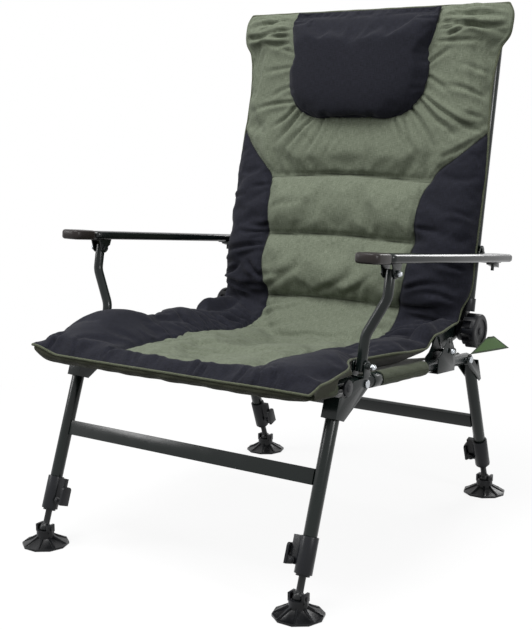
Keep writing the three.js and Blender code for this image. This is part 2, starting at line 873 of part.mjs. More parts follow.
// Collar under a back tube with a flat tongue down to the hinge, x out from the middle.
function hingeHeadGeometry() {
  const near = halfTrack - railRadius;
  const far = near + hingeTongueThickness;
  const tongue = new THREE.Shape()
    .moveTo(-hingeTongueHalfWidth, 0)
    .lineTo(hingeTongueHalfWidth, 0)
    .lineTo(hingeTongueHalfWidth, hingeHeadBottom + hingeHeadFloor)
    .lineTo(-hingeTongueHalfWidth, hingeHeadBottom + hingeHeadFloor);
  return joined(
    [
      rodZ(hingeHeadRadius, hingeHeadBottom, hingeHeadTop, halfTrack, 0),
      sidePlate(tongue, near, far),
      rodX(hingeDiscRadius, near, far, 0, 0, 2 * smallSides),
    ],
    [
      rodZ(railRadius + fit, hingeHeadBottom + hingeHeadFloor, hingeHeadTop + cutOverrun, halfTrack, 0),
      rodX(axleHole, near - cutOverrun, far + cutOverrun, 0, 0),
    ],
  );
}

// Round hand knob with a lobed rim and a dished face, bored for the axle.
function knobGeometry() {
  const rim = new THREE.Shape();
  for (let i = 0; i < knobSides; i += 1) {
    const angle = (2 * Math.PI * i) / knobSides;
    const r = knobRadius - knobLobeDepth * (1 - Math.cos(knobLobes * angle)) / 2;
    if (i === 0) {
      rim.moveTo(r, 0);
    } else {
      rim.lineTo(r * Math.cos(angle), r * Math.sin(angle));
    }
  }
  const bevel = knobLobeCut / 2;
  const body = new THREE.ExtrudeGeometry(rim, {
    depth: knobLength - 2 * bevel,
    bevelThickness: bevel,
    bevelSize: bevel,
    bevelOffset: -bevel,
    bevelSegments: 1,
  })
    .applyMatrix4(sideToWorld)
    .translate(bevel, 0, 0);
  const dish = rodX(knobFaceRadius, knobLength - knobFaceDish, knobLength + cutOverrun, 0, 0, knobSides / 2);
  const bore = rodX(axleHole, -cutOverrun, axleReach + knobBoreRoom, 0, 0);
  const hub = rodX(axleHeadRadius, axleReach + knobBoreRoom, knobLength, 0, 0);
  return joined([joined([body], [dish, bore]), hub]);
}

// Armrest post, in its own frame at the lower pivot: bent outward halfway up.
function armPostGeometry() {
  const corners = [
    new THREE.Vector3(postFootX, 0, -postFootEnd),
    new THREE.Vector3(postKneeX, 0, postKneeAt),
    new THREE.Vector3(armX, 0, postElbowAt),
    new THREE.Vector3(armX, 0, postLinkLength + postTopEnd),
  ];
  return joined(
    [tubeAlong(corners, postRadius, postBendRadius)],
    [
      rodX(boltHole, postFootX - postRadius - cutOverrun, postFootX + postRadius + cutOverrun, 0, 0),
      rodX(boltHole, armX - postRadius - cutOverrun, armX + postRadius + cutOverrun, 0, postLinkLength),
    ],
  );
}

// Rests, in the armrest frame: origin on the post's upper pivot, y rearward along the rest.
function roundedBar(width, thickness, from, to, edge) {
  const half = width / 2 - edge;
  const corner = armCornerRadius - edge;
  const outline = new THREE.Shape()
    .moveTo(armX - half + corner, from + edge)
    .absarc(armX + half - corner, from + edge + corner, corner, -Math.PI / 2, 0, false)
    .absarc(armX + half - corner, to - edge - corner, corner, 0, Math.PI / 2, false)
    .absarc(armX - half + corner, to - edge - corner, corner, Math.PI / 2, Math.PI, false)
    .absarc(armX - half + corner, from + edge + corner, corner, Math.PI, threeQuarterTurn, false);
  return new THREE.ExtrudeGeometry(outline, {
    depth: thickness - 2 * edge,
    bevelThickness: edge,
    bevelSize: edge,
    bevelSegments: 2,
    curveSegments: barCornerSteps,
  }).translate(0, 0, armRise - thickness / 2 + edge);
}

function armrestGeometry() {
  const from = armFront + armCapLength + fit;
  return joined([roundedBar(armWidth, armThickness, from, armRear, armEdge)]);
}

function armCapGeometry() {
  const to = armFront + armCapLength;
  const wide = armWidth + 2 * armCapExtra;
  return joined([roundedBar(wide, armThickness + 2 * armCapExtra, armFront, to, armEdge)]);
}

// Front bracket: two ears with an open round hook, the pivot bolt and its acorn nut.
function armFrontBracketGeometry() {
  const under = armRise - armThickness / 2 - fit;
  const outline = new THREE.Shape()
    .moveTo(-armBracketFront, under)
    .lineTo(-armBracketLobe, 0)
    .absarc(0, 0, armBracketLobe, Math.PI, 2 * Math.PI, false)
    .absarc(armBracketLobe + armHookRadius, 0, armHookRadius, Math.PI, Math.PI / 2, true)
    .lineTo(armBracketRear, under);
  const near = armX - armBracketGap / 2;
  const far = armX + armBracketGap / 2;
  return joined([
    sidePlate(outline, near - sheet, near),
    sidePlate(outline, far, far + sheet),
    block(near - sheet, far + sheet, -armBracketFront, armBracketRear, under - sheet, under),
    rodX(boltRadius, near - sheet - boltHeadHeight, far + sheet + nutFlat, 0, 0),
    rodX(nutRadius, near - sheet - boltHeadHeight, near - sheet, 0, 0),
    acornNut(far + sheet, 0, 0),
  ]);
}

// Rear bracket: a flange under the rest, an ear up its inner side, and a wedge with a screw.
function armRearBracketGeometry(pivot) {
  const under = armRise - armThickness / 2 - fit;
  const ear = new THREE.Shape()
    .moveTo(pivot.y - rearFlangeAhead, under - sheet)
    .lineTo(pivot.y + rearFlangeBehind, under - sheet)
    .lineTo(pivot.y + rearFlangeBehind, under)
    .lineTo(pivot.y + rearEarLobe, pivot.z)
    .absarc(pivot.y, pivot.z, rearEarLobe, 0, Math.PI, false)
    .lineTo(pivot.y - rearFlangeAhead, under);
  const wedgeX = armX - rearWedgeWidth / 2;
  const wedge = new THREE.Shape()
    .moveTo(pivot.y - rearWedgeLength / 2, under - sheet)
    .lineTo(pivot.y - rearWedgeLength / 2, under - sheet - rearWedgeToe)
    .lineTo(pivot.y + rearWedgeLength / 2, under - sheet - rearWedgeDepth)
    .lineTo(pivot.y + rearWedgeLength / 2, under - sheet);
  const screwTop = under - sheet - rearWedgeToe;
  return joined(
    [
      sidePlate(ear, rearEarInner, rearEarInner + rearEarThickness),
      block(
        rearEarInner,
        rearEarInner + rearFlangeWidth,
        pivot.y - rearFlangeAhead,
        pivot.y + rearFlangeBehind,
        under - sheet,
        under,
      ),
      sidePlate(wedge, wedgeX, wedgeX + rearWedgeWidth),
      rodZ(
        rearScrewRadius,
        screwTop - rearWedgeDepth - rearScrewHead,
        screwTop,
        wedgeX + rearWedgeWidth / 2,
        pivot.y,
        smallSides,
      ),
    ],
    [
      rodX(
        boltRadius + openPivotClearance,
        rearEarInner - cutOverrun,
        rearEarInner + rearEarThickness + cutOverrun,
        pivot.y,
        pivot.z,
      ),
    ],
  );
}

// Cloth and cushion shapes. Cloth and the cushion on it share one set of columns and rows.
const smooth = (from, to, value) => THREE.MathUtils.smoothstep(value, from, to);
const mix = THREE.MathUtils.lerp;
const bell = (distance, run) => Math.exp(-((distance / run) ** 2));
const crown = (share) => Math.sqrt(1 - Math.abs(share) ** crownPower);
const innerShares = [0, 0.35, 0.62, 0.7, 0.78, 1];
const rimShares = [0.5, 0.85, 1];
const rowsBetween = (shares, from, to) => shares.map((share) => mix(from, to, share));

function columnsTo(halfWidth, outerShares) {
  const right = [
    ...innerShares.map((share) => share * innerColumns),
    ...outerShares.map((share) => mix(innerColumns, halfWidth, share)),
  ];
  return [...right.slice(1).reverse().map((x) => -x), ...right];
}

// A pad whose half width follows its length; each surface gets x, the row and x's share.
function padBetween(rows, halfWidthAt, outerShares, front, back) {
  const columns = columnsTo(1, outerShares).map((x, index) => index);
  const surface = (face) => (index, row) => {
    const halfWidth = halfWidthAt(row);
    const x = columnsTo(halfWidth, outerShares)[index];
    return face(x, row, x / halfWidth);
  };
  return padOver(columns, rows, surface(front), surface(back));
}

// Hang of the seat cloth: its upper face in the rail frame.
function seatClothTop(x, y) {
  const reach = Math.min(1, (y + railFrontReach) / seatSagReach);
  const hang = seatSag * Math.sin((Math.PI / 2) * Math.max(0, reach));
  const across = Math.min(Math.abs(x), halfTrack) / halfTrack;
  return sleeveRadius - fit - hang * (1 - across ** 2);
}

function seatClothHalfWidth(y) {
  if (y <= seatSleeveFrontEnd || (y >= seatSleeveRearStart && y <= seatSleeveRearEnd)) {
    return halfTrack - clothEdgeInset;
  }
  return y > seatSleeveRearEnd ? seatClothTail : seatClothWaist;
}

const bandRowShares = [0, 0.15, 0.45, 1];
const halfShares = [0, 0.5, 1];
const seatRows = [
  ...rowsBetween(bandRowShares, -railFrontReach + clothEdgeInset, seatSleeveFrontEnd),
  seatSleeveFrontEnd + clothEdgeInset,
  seatBandEnd + seatSeamRun,
  seatBandEnd + seatBandBlend,
  seatWaistEnd,
  seatSleeveRearStart - clothEdgeInset,
  ...rowsBetween(halfShares, seatSleeveRearStart, seatSleeveRearEnd),
  seatSleeveRearEnd + clothEdgeInset,
  ...rowsBetween(halfShares.slice(1), seatSleeveRearEnd, seatClothRearEnd),
];

function seatSlingGeometry() {
  const corners = [
    new THREE.Vector3(halfTrack, seatSleeveFrontEnd, 0),
    new THREE.Vector3(halfTrack, -railFrontReach, 0),
    new THREE.Vector3(-halfTrack, -railFrontReach, 0),
    new THREE.Vector3(-halfTrack, seatSleeveFrontEnd, 0),
  ];
  const inner = corners.map((corner) => corner.clone());
  inner[0].y += cutOverrun;
  inner[3].y += cutOverrun;
  const parts = [tubeAlong(corners, sleeveRadius, railCornerRadius)];
  const cuts = [tubeAlong(inner, railRadius + fit, railCornerRadius)];
  for (const side of [1, -1]) {
    const sleeve = (radius, from, to) =>
      rodZ(radius, from, to, 0, 0)
        .rotateX(-Math.PI / 2)
        .translate(side * halfTrack, 0, 0);
    parts.push(sleeve(sleeveRadius, seatSleeveRearStart, seatSleeveRearEnd));
    cuts.push(
      sleeve(railRadius + fit, seatSleeveRearStart - cutOverrun, seatSleeveRearEnd + cutOverrun),
    );
  }
  const cloth = padBetween(
    seatRows,
    seatClothHalfWidth,
    [1],
    (x, y) => [x, y, seatClothTop(x, y)],
    (x, y) => [x, y, seatClothTop(x, y) - clothThickness],
  );
  return joined([...parts, cloth], cuts);
}

function backClothFront(x, z) {
  const reach = Math.min(1, (backTop - z) / backSagReach);
  const hang = backSag * Math.sin((Math.PI / 2) * Math.max(0, reach));
  const across = Math.min(Math.abs(x), halfTrack) / halfTrack;
  return -(sleeveRadius - plateClearance) + hang * (1 - across ** 2);
}

// Rows up the back with the depth of the cushion's face before the tubes. Three sewn
// channels cross it; above them the face is flat behind the head pillow.
const backFace = [
  { up: 8, out: 54 },
  { up: 14, out: 60 },
  { up: 27, out: 57 },
  { up: 42, out: 68 },
  { up: 62, out: 76 },
  { up: 90, out: 78 },
  { up: 133, out: 62 },
  { up: 145, out: 55 },
  { up: 160, out: 62 },
  { up: 185, out: 68 },
  { up: 215, out: 64 },
  { up: 245, out: 48 },
  { up: 259, out: 38 },
  { up: 273, out: 44 },
  { up: 277, out: 45 },
  { up: 345, out: 38 },
  { up: 480, out: 35 },
  { up: 558, out: 33 },
  { up: 569, out: 31 },
  { up: 577, out: 26 },
];

function backFaceAt(z) {
  const next = Math.max(1, backFace.findIndex((station) => station.up >= z));
  const low = backFace[next - 1];
  const high = backFace[next];
  return mix(low.out, high.out, (z - low.up) / (high.up - low.up));
}

function backSlingGeometry() {
  const rows = backFace
    .map((station) => station.up)
    .filter((up) => up >= backClothBottom && up < backTop);
  const corners = [
    new THREE.Vector3(halfTrack, 0, backSleeveBottom),
    new THREE.Vector3(halfTrack, 0, backTop),
    new THREE.Vector3(-halfTrack, 0, backTop),
    new THREE.Vector3(-halfTrack, 0, backSleeveBottom),
  ];
  const inner = corners.map((corner) => corner.clone());
  inner[0].z -= cutOverrun;
  inner[3].z -= cutOverrun;
  const cloth = padBetween(
    rows,
    (z) => (z < backSleeveBottom ? backClothWaist : halfTrack - clothEdgeInset),
    [1],
    (x, z) => [x, backClothFront(x, z), z],
    (x, z) => [x, backClothFront(x, z) + clothThickness, z],
  );
  return joined(
    [tubeAlong(corners, sleeveRadius, backCornerRadius), cloth],
    [tubeAlong(inner, railRadius + fit, backCornerRadius)],
  );
}

// Seat cushion, in the rail frame.
function seatHalfWidth(y) {
  const waistFront = mix(seatFrontHalfWidth, seatWaistHalfWidth, smooth(seatBandEnd, -seatWaistEnd, y));
  const waistRear = mix(waistFront, seatMidHalfWidth, smooth(seatWaistEnd, seatSleeveRearStart, y));
  const tail = smooth(seatSleeveRearEnd - 2 * seatWaistEnd, clampStart - clothEdgeInset, y);
  return mix(waistRear, seatTailHalfWidth, tail);
}

function seatCushionUnder(x, y) {
  const lift = seatRimLift * smooth(seatBandEnd - seatBandBlend, seatBandEnd, y);
  const rise = smooth(halfTrack - seatRimLiftRun, seatMidHalfWidth, Math.abs(x));
  return seatClothTop(x, y) + fit + clothGap + lift * rise;
}

function seatCushionTop(x, y, share) {
  const full = mix(
    seatBandThickness,
    seatCushionThickness,
    smooth(seatBandEnd - seatBandBlend / 2, seatBandEnd + seatBandBlend, y),
  );
  const seam =
    seatSeamDepth * bell(y - seatBandEnd, seatSeamRun) +
    seatSeamDepth * bell(Math.abs(x) - seamShare * innerColumns, seatSeamRun);
  const along = (2 * (y - seatCushionFront)) / (seatCushionRear - seatCushionFront) - 1;
  const swell = crown(share) * crown(THREE.MathUtils.clamp(along, -1, 1));
  return seatCushionUnder(x, y) + seatRim + (full - seatRim - seam) * swell;
}

function seatCushionGeometry() {
  const lip = -railFrontReach - seatCushionFront;
  const rows = [
    ...lipRowShares.map((share) => seatCushionFront + share * lip),
    ...seatRows,
    seatCushionRear,
  ];
  return joined([
    padBetween(
      rows,
      seatHalfWidth,
      rimShares,
      (x, y, share) => [x, y, seatCushionTop(x, y, share)],
      (x, y) => [x, y, seatCushionUnder(x, y)],
    ),
  ]);
}

function backCushionRear(x, z) {
  const cloth = backClothFront(x, z) - clothGap;
  const clear = -sleeveRadius - clothGap;
  const heel = (backHeelDepth + clear) * (1 - smooth(backCushionBottom, backHeelTop, z));
  const beside = smooth(innerColumns, halfTrack - clothEdgeInset, Math.abs(x));
  const above = smooth(backHeadStart, backHeadEnd, z);
  return mix(cloth, clear, Math.max(beside, above)) - heel;
}

function backCushionHalfWidthAt(z) {
  return mix(backCushionLowHalfWidth, backCushionHalfWidth, smooth(backCushionWaistTop, backSleeveBottom, z));
}

function backCushionGeometry() {
  const face = (x, z, share) => {
    const edge = backCushionRear(x, z) - backCushionRim;
    const seam = backSeamDepth * bell(Math.abs(x) - seamShare * innerColumns, seatSeamRun);
    return [x, mix(edge, seam - backFaceAt(z), crown(share)), z];
  };
  return joined([
    padBetween(
      backFace.map((station) => station.up),
      backCushionHalfWidthAt,
      rimShares,
      face,
      (x, z) => [x, backCushionRear(x, z), z],
    ),
  ]);
}

// Head pillow: narrower and rounded below, flat against the back cushion.
function headPillowGeometry() {
  const rowShares = [0, 0.04, 0.12, 0.25, 0.4, 0.55, 0.7, 0.85, 0.95, 1];
  const columnShares = [0, 0.02, 0.08, 0.2, 0.35, 0.5, 0.65, 0.8, 0.92, 0.98, 1];
  const taper = (share) => mix(pillowFootShare, 1, Math.sqrt(Math.min(1, share / pillowTaperShare)));
  const at = (swelling) => (share, row) => {
    const z = mix(pillowBottom, pillowTop, row);
    const across = 2 * share - 1;
    const swell = crown(across) * crown(2 * row - 1);
    const out = swelling ? pillowRim + (pillowThickness - pillowRim) * swell : 0;
    return [across * pillowHalfWidth * taper(row), -backFaceAt(z) - clothGap - out, z];
  };
  return joined([padOver(columnShares, rowShares, at(true), at(false))]);
}

// The chair: frames and groups nested as they are joined.
const chair = new THREE.Group();

function frameAt(y, z, tilt, parent = chair) {
  const group = new THREE.Group();
  group.position.set(0, y, z);
  group.rotation.x = tilt;
  parent.add(group);
  return group;
}

function mirroredSides(parent) {
  return ["left", "right"].map((name) => {
    const group = new THREE.Group();
    group.scale.x = name === "left" ? 1 : -1;
    parent.add(group);
    return { name, group };
  });
}

function offsetX(parent, x, z = 0) {
  const group = new THREE.Group();
  group.position.set(x, 0, z);
  parent.add(group);
  return group;
}

const seat = frameAt(frontPivotY, frontPivotZ, -railDrop);
piece(seat, "seat_frame", seatFrameGeometry(), "frame");
piece(seat, "seat_sling", seatSlingGeometry(), "cloth");
piece(seat, "seat_cushion", seatCushionGeometry(), "cushion");
for (const { name, group } of mirroredSides(seat)) {
  piece(group, `post_bracket_${name}`, postBracketGeometry(), "frame");
  piece(group, `front_leg_bolt_${name}`, legBoltGeometry(0), "zinc");
  piece(group, `rear_leg_bolt_${name}`, legBoltGeometry(pivotSpan), "zinc");
  piece(group, `lock_button_${name}`, lockButtonGeometry(), "plastic");
  piece(group, `recliner_clamp_${name}`, reclinerClampGeometry(), "frame");
  piece(group, `recliner_arm_${name}`, reclinerArmGeometry(), "zinc");
}

const legEnds = [
  { end: "front", ball: frontBall, tilt: -legRake, top: frontLegTop, bar: frontCrossbarAt },
  { end: "rear", ball: rearBall, tilt: legRake, top: rearLegTop, bar: rearCrossbarAt },
];
for (const { end, ball, tilt, top, bar } of legEnds) {
  const legs = frameAt(ball.y, ball.z, tilt);
  piece(legs, `${end}_leg_bar`, crossbarGeometry(bar), "frame");
  for (const { name, group } of mirroredSides(legs)) {
    const leg = offsetX(group, halfTrack);
    const gusset = end === "front" ? frontGussetGeometry() : rearGussetGeometry();
    piece(leg, `${end}_gusset_${name}`, gusset, "frame");
    piece(leg, `${end}_leg_${name}`, outerLegGeometry(top), "frame");
    piece(leg, `${end}_clip_${name}`, legClipGeometry(), "plastic");
    piece(leg, `${end}_inner_leg_${name}`, innerLegGeometry(), "frame");
    const lever = offsetX(leg, -clipPinOut, clipPinAt);
    piece(lever, `${end}_lever_${name}`, clipLeverGeometry(), "plastic");
  }
  for (const { name, group } of mirroredSides(frameAt(ball.y, ball.z, 0))) {
    piece(offsetX(group, halfTrack), `${end}_foot_${name}`, mudFootGeometry(), "plastic");
  }
}

const hinge = fromRail(hingeAhead, hingeRise);
const postFoot = fromRail(postPivotAhead, postPivotRise);
const back = frameAt(hinge.y, hinge.z, -backLean);
piece(back, "back_frame", backFrameGeometry(), "frame");
piece(back, "back_sling", backSlingGeometry(), "cloth");
piece(back, "back_cushion", backCushionGeometry(), "cushion");
piece(back, "head_pillow", headPillowGeometry(), "pillow");
for (const { name, group } of mirroredSides(back)) {
  piece(group, `hinge_head_${name}`, hingeHeadGeometry(), "plastic");
  piece(offsetX(group, halfTrack), `recliner_knob_${name}`, knobGeometry(), "plastic");
}

for (const { name, group } of mirroredSides(frameAt(postFoot.y, postFoot.z, -backLean))) {
  piece(group, `arm_post_${name}`, armPostGeometry(), "frame");
}

// Armrests: the upper pivots stand one link above the lower ones, along the back's lean.
const link = new THREE.Vector3(0, postLinkLength * Math.sin(backLean), postLinkLength * Math.cos(backLean));
const upperPivot = postFoot.clone().add(link);
const rests = frameAt(upperPivot.y, upperPivot.z, -armSlope);
const rearPivotInRest = hinge
  .clone()
  .sub(postFoot)
  .applyAxisAngle(new THREE.Vector3(1, 0, 0), armSlope);
for (const { name, group } of mirroredSides(rests)) {
  piece(group, `armrest_${name}`, armrestGeometry(), "armPad");
  piece(group, `arm_cap_${name}`, armCapGeometry(), "plastic");
  piece(group, `arm_front_bracket_${name}`, armFrontBracketGeometry(), "frame");
  piece(group, `arm_rear_bracket_${name}`, armRearBracketGeometry(rearPivotInRest), "frame");
}

export default chair;
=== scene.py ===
# %% [markdown]
# # A folding fishing chair
# The real chair is three bent steel frames that fold flat, a padded cover in olive and black
# polyester that hangs between them, and black moulded fittings. The steel comes from the packed
# model as it is, and gets its paint here. Everything that was sewn or moulded soft is made new,
# because cloth has folds and seams that no solid block can show.

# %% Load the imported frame
import json
import math

import bpy
import numpy as np
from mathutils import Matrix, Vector

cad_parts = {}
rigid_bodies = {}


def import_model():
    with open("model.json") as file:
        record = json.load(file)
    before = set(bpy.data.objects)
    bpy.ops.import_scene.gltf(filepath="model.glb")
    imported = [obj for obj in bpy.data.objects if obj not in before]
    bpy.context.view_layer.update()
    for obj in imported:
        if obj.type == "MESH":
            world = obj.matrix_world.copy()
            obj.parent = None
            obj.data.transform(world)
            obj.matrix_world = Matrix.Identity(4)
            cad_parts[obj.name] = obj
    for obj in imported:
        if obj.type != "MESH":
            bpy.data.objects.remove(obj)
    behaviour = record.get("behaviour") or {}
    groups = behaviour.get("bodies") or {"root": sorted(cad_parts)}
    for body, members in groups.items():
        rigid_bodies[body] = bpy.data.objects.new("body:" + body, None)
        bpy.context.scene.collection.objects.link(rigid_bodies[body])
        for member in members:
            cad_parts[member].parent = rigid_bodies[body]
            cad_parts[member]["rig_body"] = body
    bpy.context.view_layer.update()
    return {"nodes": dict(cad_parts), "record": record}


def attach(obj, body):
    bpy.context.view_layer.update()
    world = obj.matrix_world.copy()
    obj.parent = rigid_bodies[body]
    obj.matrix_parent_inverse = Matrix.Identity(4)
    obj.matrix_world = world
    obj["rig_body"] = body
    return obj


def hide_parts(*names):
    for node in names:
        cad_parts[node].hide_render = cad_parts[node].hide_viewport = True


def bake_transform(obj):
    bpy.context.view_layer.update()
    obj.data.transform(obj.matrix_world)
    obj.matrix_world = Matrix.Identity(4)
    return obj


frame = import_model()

scene = bpy.context.scene
nodes = frame["nodes"]

# %% [markdown]
# ## Small tools
# Sizes on the real chair are thought of in millimetres and Blender works in metres, so one
# function turns the first into the second. Colours are written as sRGB hex values, the way a
# colour picker shows them, and turned to linear light. A third tool empties the selection,
# because an operator acts on everything that is selected. The last two put an object's place and
# its modifiers into its mesh.

# %% Units, colours and selection
def mm(*lengths):
    metres = [length / 1000 for length in lengths]
    return metres[0] if len(metres) == 1 else tuple(metres)


def srgb(code):
    channels = [int(code[i : i + 2], 16) / 255 for i in (1, 3, 5)]
    linear = [c / 12.92 if c <= 0.04045 else ((c + 0.055) / 1.055) ** 2.4 for c in channels]
    return (*linear, 1)


def deselect():
    if bpy.context.object and bpy.context.object.mode != "OBJECT":
        bpy.ops.object.mode_set(mode="OBJECT")
    bpy.ops.object.select_all(action="DESELECT")


def select(piece):
    deselect()
    piece.select_set(True)
    bpy.context.view_layer.objects.active = piece
    return piece


def new_object(name, data):
    piece = bpy.data.objects.new(name, data)
    scene.collection.objects.link(piece)
    return piece


def settle(piece):
    """Puts the place, turn and size of an object into its mesh, so the object sits at the origin."""
    select(piece)
    bpy.ops.object.transform_apply(location=True, rotation=True, scale=True)
    return piece


def apply_modifiers(piece):
    select(piece)
    for modifier in list(piece.modifiers):
        bpy.ops.object.modifier_apply(modifier=modifier.name)


print("10 mm is", mm(10), "m, and mid grey is", round(srgb("#808080")[0], 3), "in linear light")


# %% [markdown]
# ## Camera
# The photograph looks down on the chair from the front left of its sitter. The camera's place and
# lens were worked out from where the tube ends and feet fall in the picture.

# %% Camera
camera_data = bpy.data.cameras.new("camera")
camera = new_object("camera", camera_data)
camera.location = mm(1085.1, -1652.3, 716.9)
looks_down, turned_left = 10.108, 33.955
camera.rotation_euler = (math.radians(90 - looks_down), 0, math.radians(turned_left))
camera_data.sensor_width = 36
camera_data.lens = 66.34
camera_data.clip_end = 50
scene.camera = camera
print("camera", [round(c, 3) for c in camera.location], camera_data.lens, "mm")

# %% [markdown]
# ## One tool for materials
# A procedural material is a graph of nodes. One function adds any node, sets its options and fills
# or links its sockets, so that each graph below reads from top to bottom like a recipe.

# %% A node with its settings and links
def add_node(tree, kind, sockets=None, **settings):
    node = tree.nodes.new(kind)
    for name, value in settings.items():
        setattr(node, name, value)
    for socket, value in (sockets or {}).items():
        if isinstance(value, bpy.types.NodeSocket):
            tree.links.new(value, node.inputs[socket])
        else:
            node.inputs[socket].default_value = value
    return node


def new_material(name):
    material = bpy.data.materials.new(name)
    material.use_nodes = True
    material.node_tree.nodes.clear()
    return material, material.node_tree


# %% [markdown]
# ## Floor and light
# The picture was taken on a white sweep. Here a large white disc is the floor. To the camera it
# adds its own light, less by the feet than further out, so that it reads as paper white out to the
# horizon and still keeps the soft shadow under the feet. The world is white to the camera and to
# anything shiny, and dimmed as a light, so that colours come out about as they are written.

# %% Floor
white = (1, 1, 1, 1)


def seen_directly(tree):
    """1 on the way from the camera, a reflection or a clear surface, and 0 for scattered light."""
    path = add_node(tree, "ShaderNodeLightPath")
    either = add_node(
        tree, "ShaderNodeMath", {0: path.outputs["Is Camera Ray"], 1: path.outputs["Is Glossy Ray"]},
        operation="MAXIMUM",
    )
    return add_node(
        tree, "ShaderNodeMath", {0: either.outputs[0], 1: path.outputs["Is Transmission Ray"]},
        operation="MAXIMUM",
    ).outputs[0]


paper, tree = new_material("white sweep")
matt = add_node(tree, "ShaderNodeBsdfDiffuse", {"Color": srgb("#f4f4f4")})
glow = add_node(tree, "ShaderNodeEmission", {"Color": white, "Strength": seen_directly(tree)})
place = add_node(tree, "ShaderNodeTexCoord").outputs["Object"]
away = add_node(tree, "ShaderNodeVectorMath", {0: place}, operation="LENGTH").outputs["Value"]
feet_reach, sweep_reach, glow_by_the_feet = 0.45, 1.2, 0.88
paper_glow = add_node(
    tree, "ShaderNodeMapRange",
    {"Value": away, "From Min": feet_reach, "From Max": sweep_reach,
     "To Min": glow_by_the_feet, "To Max": 1.0},
)
sweep = add_node(
    tree, "ShaderNodeMixShader", {0: paper_glow.outputs[0], 1: matt.outputs[0], 2: glow.outputs[0]}
)
add_node(tree, "ShaderNodeOutputMaterial", {"Surface": sweep.outputs[0]})

deselect()
bpy.ops.mesh.primitive_circle_add(
    vertices=96, radius=12, fill_type="NGON", location=mm(0, 0, -0.6)
)
floor = settle(bpy.context.object)
floor.name = "floor"
floor.data.materials.append(paper)

# %% World
world = bpy.data.worlds.new("studio")
scene.world = world
world.use_nodes = True
tree = world.node_tree
tree.nodes.clear()
sky_as_a_light = 0.34
strength = add_node(
    tree, "ShaderNodeMath", {0: seen_directly(tree), 1: sky_as_a_light}, operation="MAXIMUM"
)
sky = add_node(
    tree, "ShaderNodeBackground", {"Color": white, "Strength": strength.outputs[0]}
)
add_node(tree, "ShaderNodeOutputWorld", {"Surface": sky.outputs[0]})

# %% Soft lamps
def soft_lamp(name, place, aim, size, power):
    data = bpy.data.lights.new(name, "AREA")
    data.shape = "SQUARE"
    data.size = size
    data.energy = power
    lamp = new_object(name, data)
    lamp.location = place
    lamp.rotation_euler = (Vector(aim) - Vector(place)).to_track_quat("-Z", "Y").to_euler()


soft_lamp("top softbox", (-0.3, -0.9, 3.0), aim=(0, 0, 0.4), size=1.3, power=72)
soft_lamp("left softbox", (-2.3, -1.7, 1.7), aim=(0, 0, 0.45), size=1.0, power=34)
soft_lamp("right strip", (2.6, -0.6, 1.5), aim=(0, 0, 0.4), size=0.7, power=26)
soft_lamp("back softbox", (0.4, 2.8, 1.9), aim=(0, 0, 0.5), size=1.3, power=46)
scene.view_settings.view_transform = "Standard"
print("stage ready with", len(bpy.data.lights), "lamps")

# %% [markdown]
# ## Steel: powder coat and zinc
# The tubes are mild steel with a dark green-black polyester powder coat. The powder melts into a
# smooth skin with a faint orange peel about 1.5 mm across, which makes long highlights wobble a
# little. Where hands and the fold rub it, it turns a little lighter, and its shine is uneven.
# The armrests have the same paint without the orange peel.
# The bolts, rivets and nuts are zinc plated: bright bluish metal, satin from the plating bath.

# %% Powder coat
def powder_coat(name, colour, worn, roughness, peel):
    material, tree = new_material(name)
    place = add_node(tree, "ShaderNodeTexCoord").outputs["Object"]
    peel_grain = add_node(
        tree, "ShaderNodeTexNoise", {"Vector": place, "Scale": 650.0, "Detail": 2.0, "Roughness": 0.5}
    )
    handling = add_node(
        tree, "ShaderNodeTexNoise", {"Vector": place, "Scale": 26.0, "Detail": 5.0, "Roughness": 0.62}
    )
    patches = add_node(
        tree, "ShaderNodeMapRange",
        {"Value": handling.outputs["Fac"], "From Min": 0.42, "From Max": 0.72, "To Max": 1.0},
    )
    edges = add_node(tree, "ShaderNodeNewGeometry").outputs["Pointiness"]
    rubbed = add_node(tree, "ShaderNodeMapRange", {"Value": edges, "From Min": 0.53, "From Max": 0.62})
    faint = add_node(
        tree, "ShaderNodeMath", {0: patches.outputs[0], 1: 0.35}, operation="MULTIPLY"
    )
    wear = add_node(
        tree, "ShaderNodeMath", {0: faint.outputs[0], 1: rubbed.outputs[0]}, operation="MAXIMUM"
    )
    paint = add_node(
        tree, "ShaderNodeMix", {"Factor": wear.outputs[0], "A": srgb(colour), "B": srgb(worn)},
        data_type="RGBA",
    )
    shine = add_node(
        tree, "ShaderNodeMapRange",
        {"Value": handling.outputs["Fac"], "From Min": 0.3, "From Max": 0.7,
         "To Min": roughness - 0.05, "To Max": roughness + 0.06},
    )
    bump = add_node(
        tree, "ShaderNodeBump",
        {"Height": peel_grain.outputs["Fac"], "Strength": peel, "Distance": 0.0004},
    )
    coat = add_node(
        tree, "ShaderNodeBsdfPrincipled",
        {"Base Color": paint.outputs["Result"], "Roughness": shine.outputs[0], "IOR": 1.5,
         "Specular IOR Level": 0.3, "Normal": bump.outputs[0]},
    )
    add_node(tree, "ShaderNodeOutputMaterial", {"Surface": coat.outputs[0]})
    return material


steel_paint = powder_coat("polyester powder coat", "#0d1413", "#1c2523", 0.23, peel=0.06)
inner_paint = powder_coat("black electrocoat", "#0e1011", "#1c1e1f", 0.34, peel=0.06)
arm_skin = powder_coat("satin painted armrest", "#0c1212", "#121919", 0.2, peel=0.0)

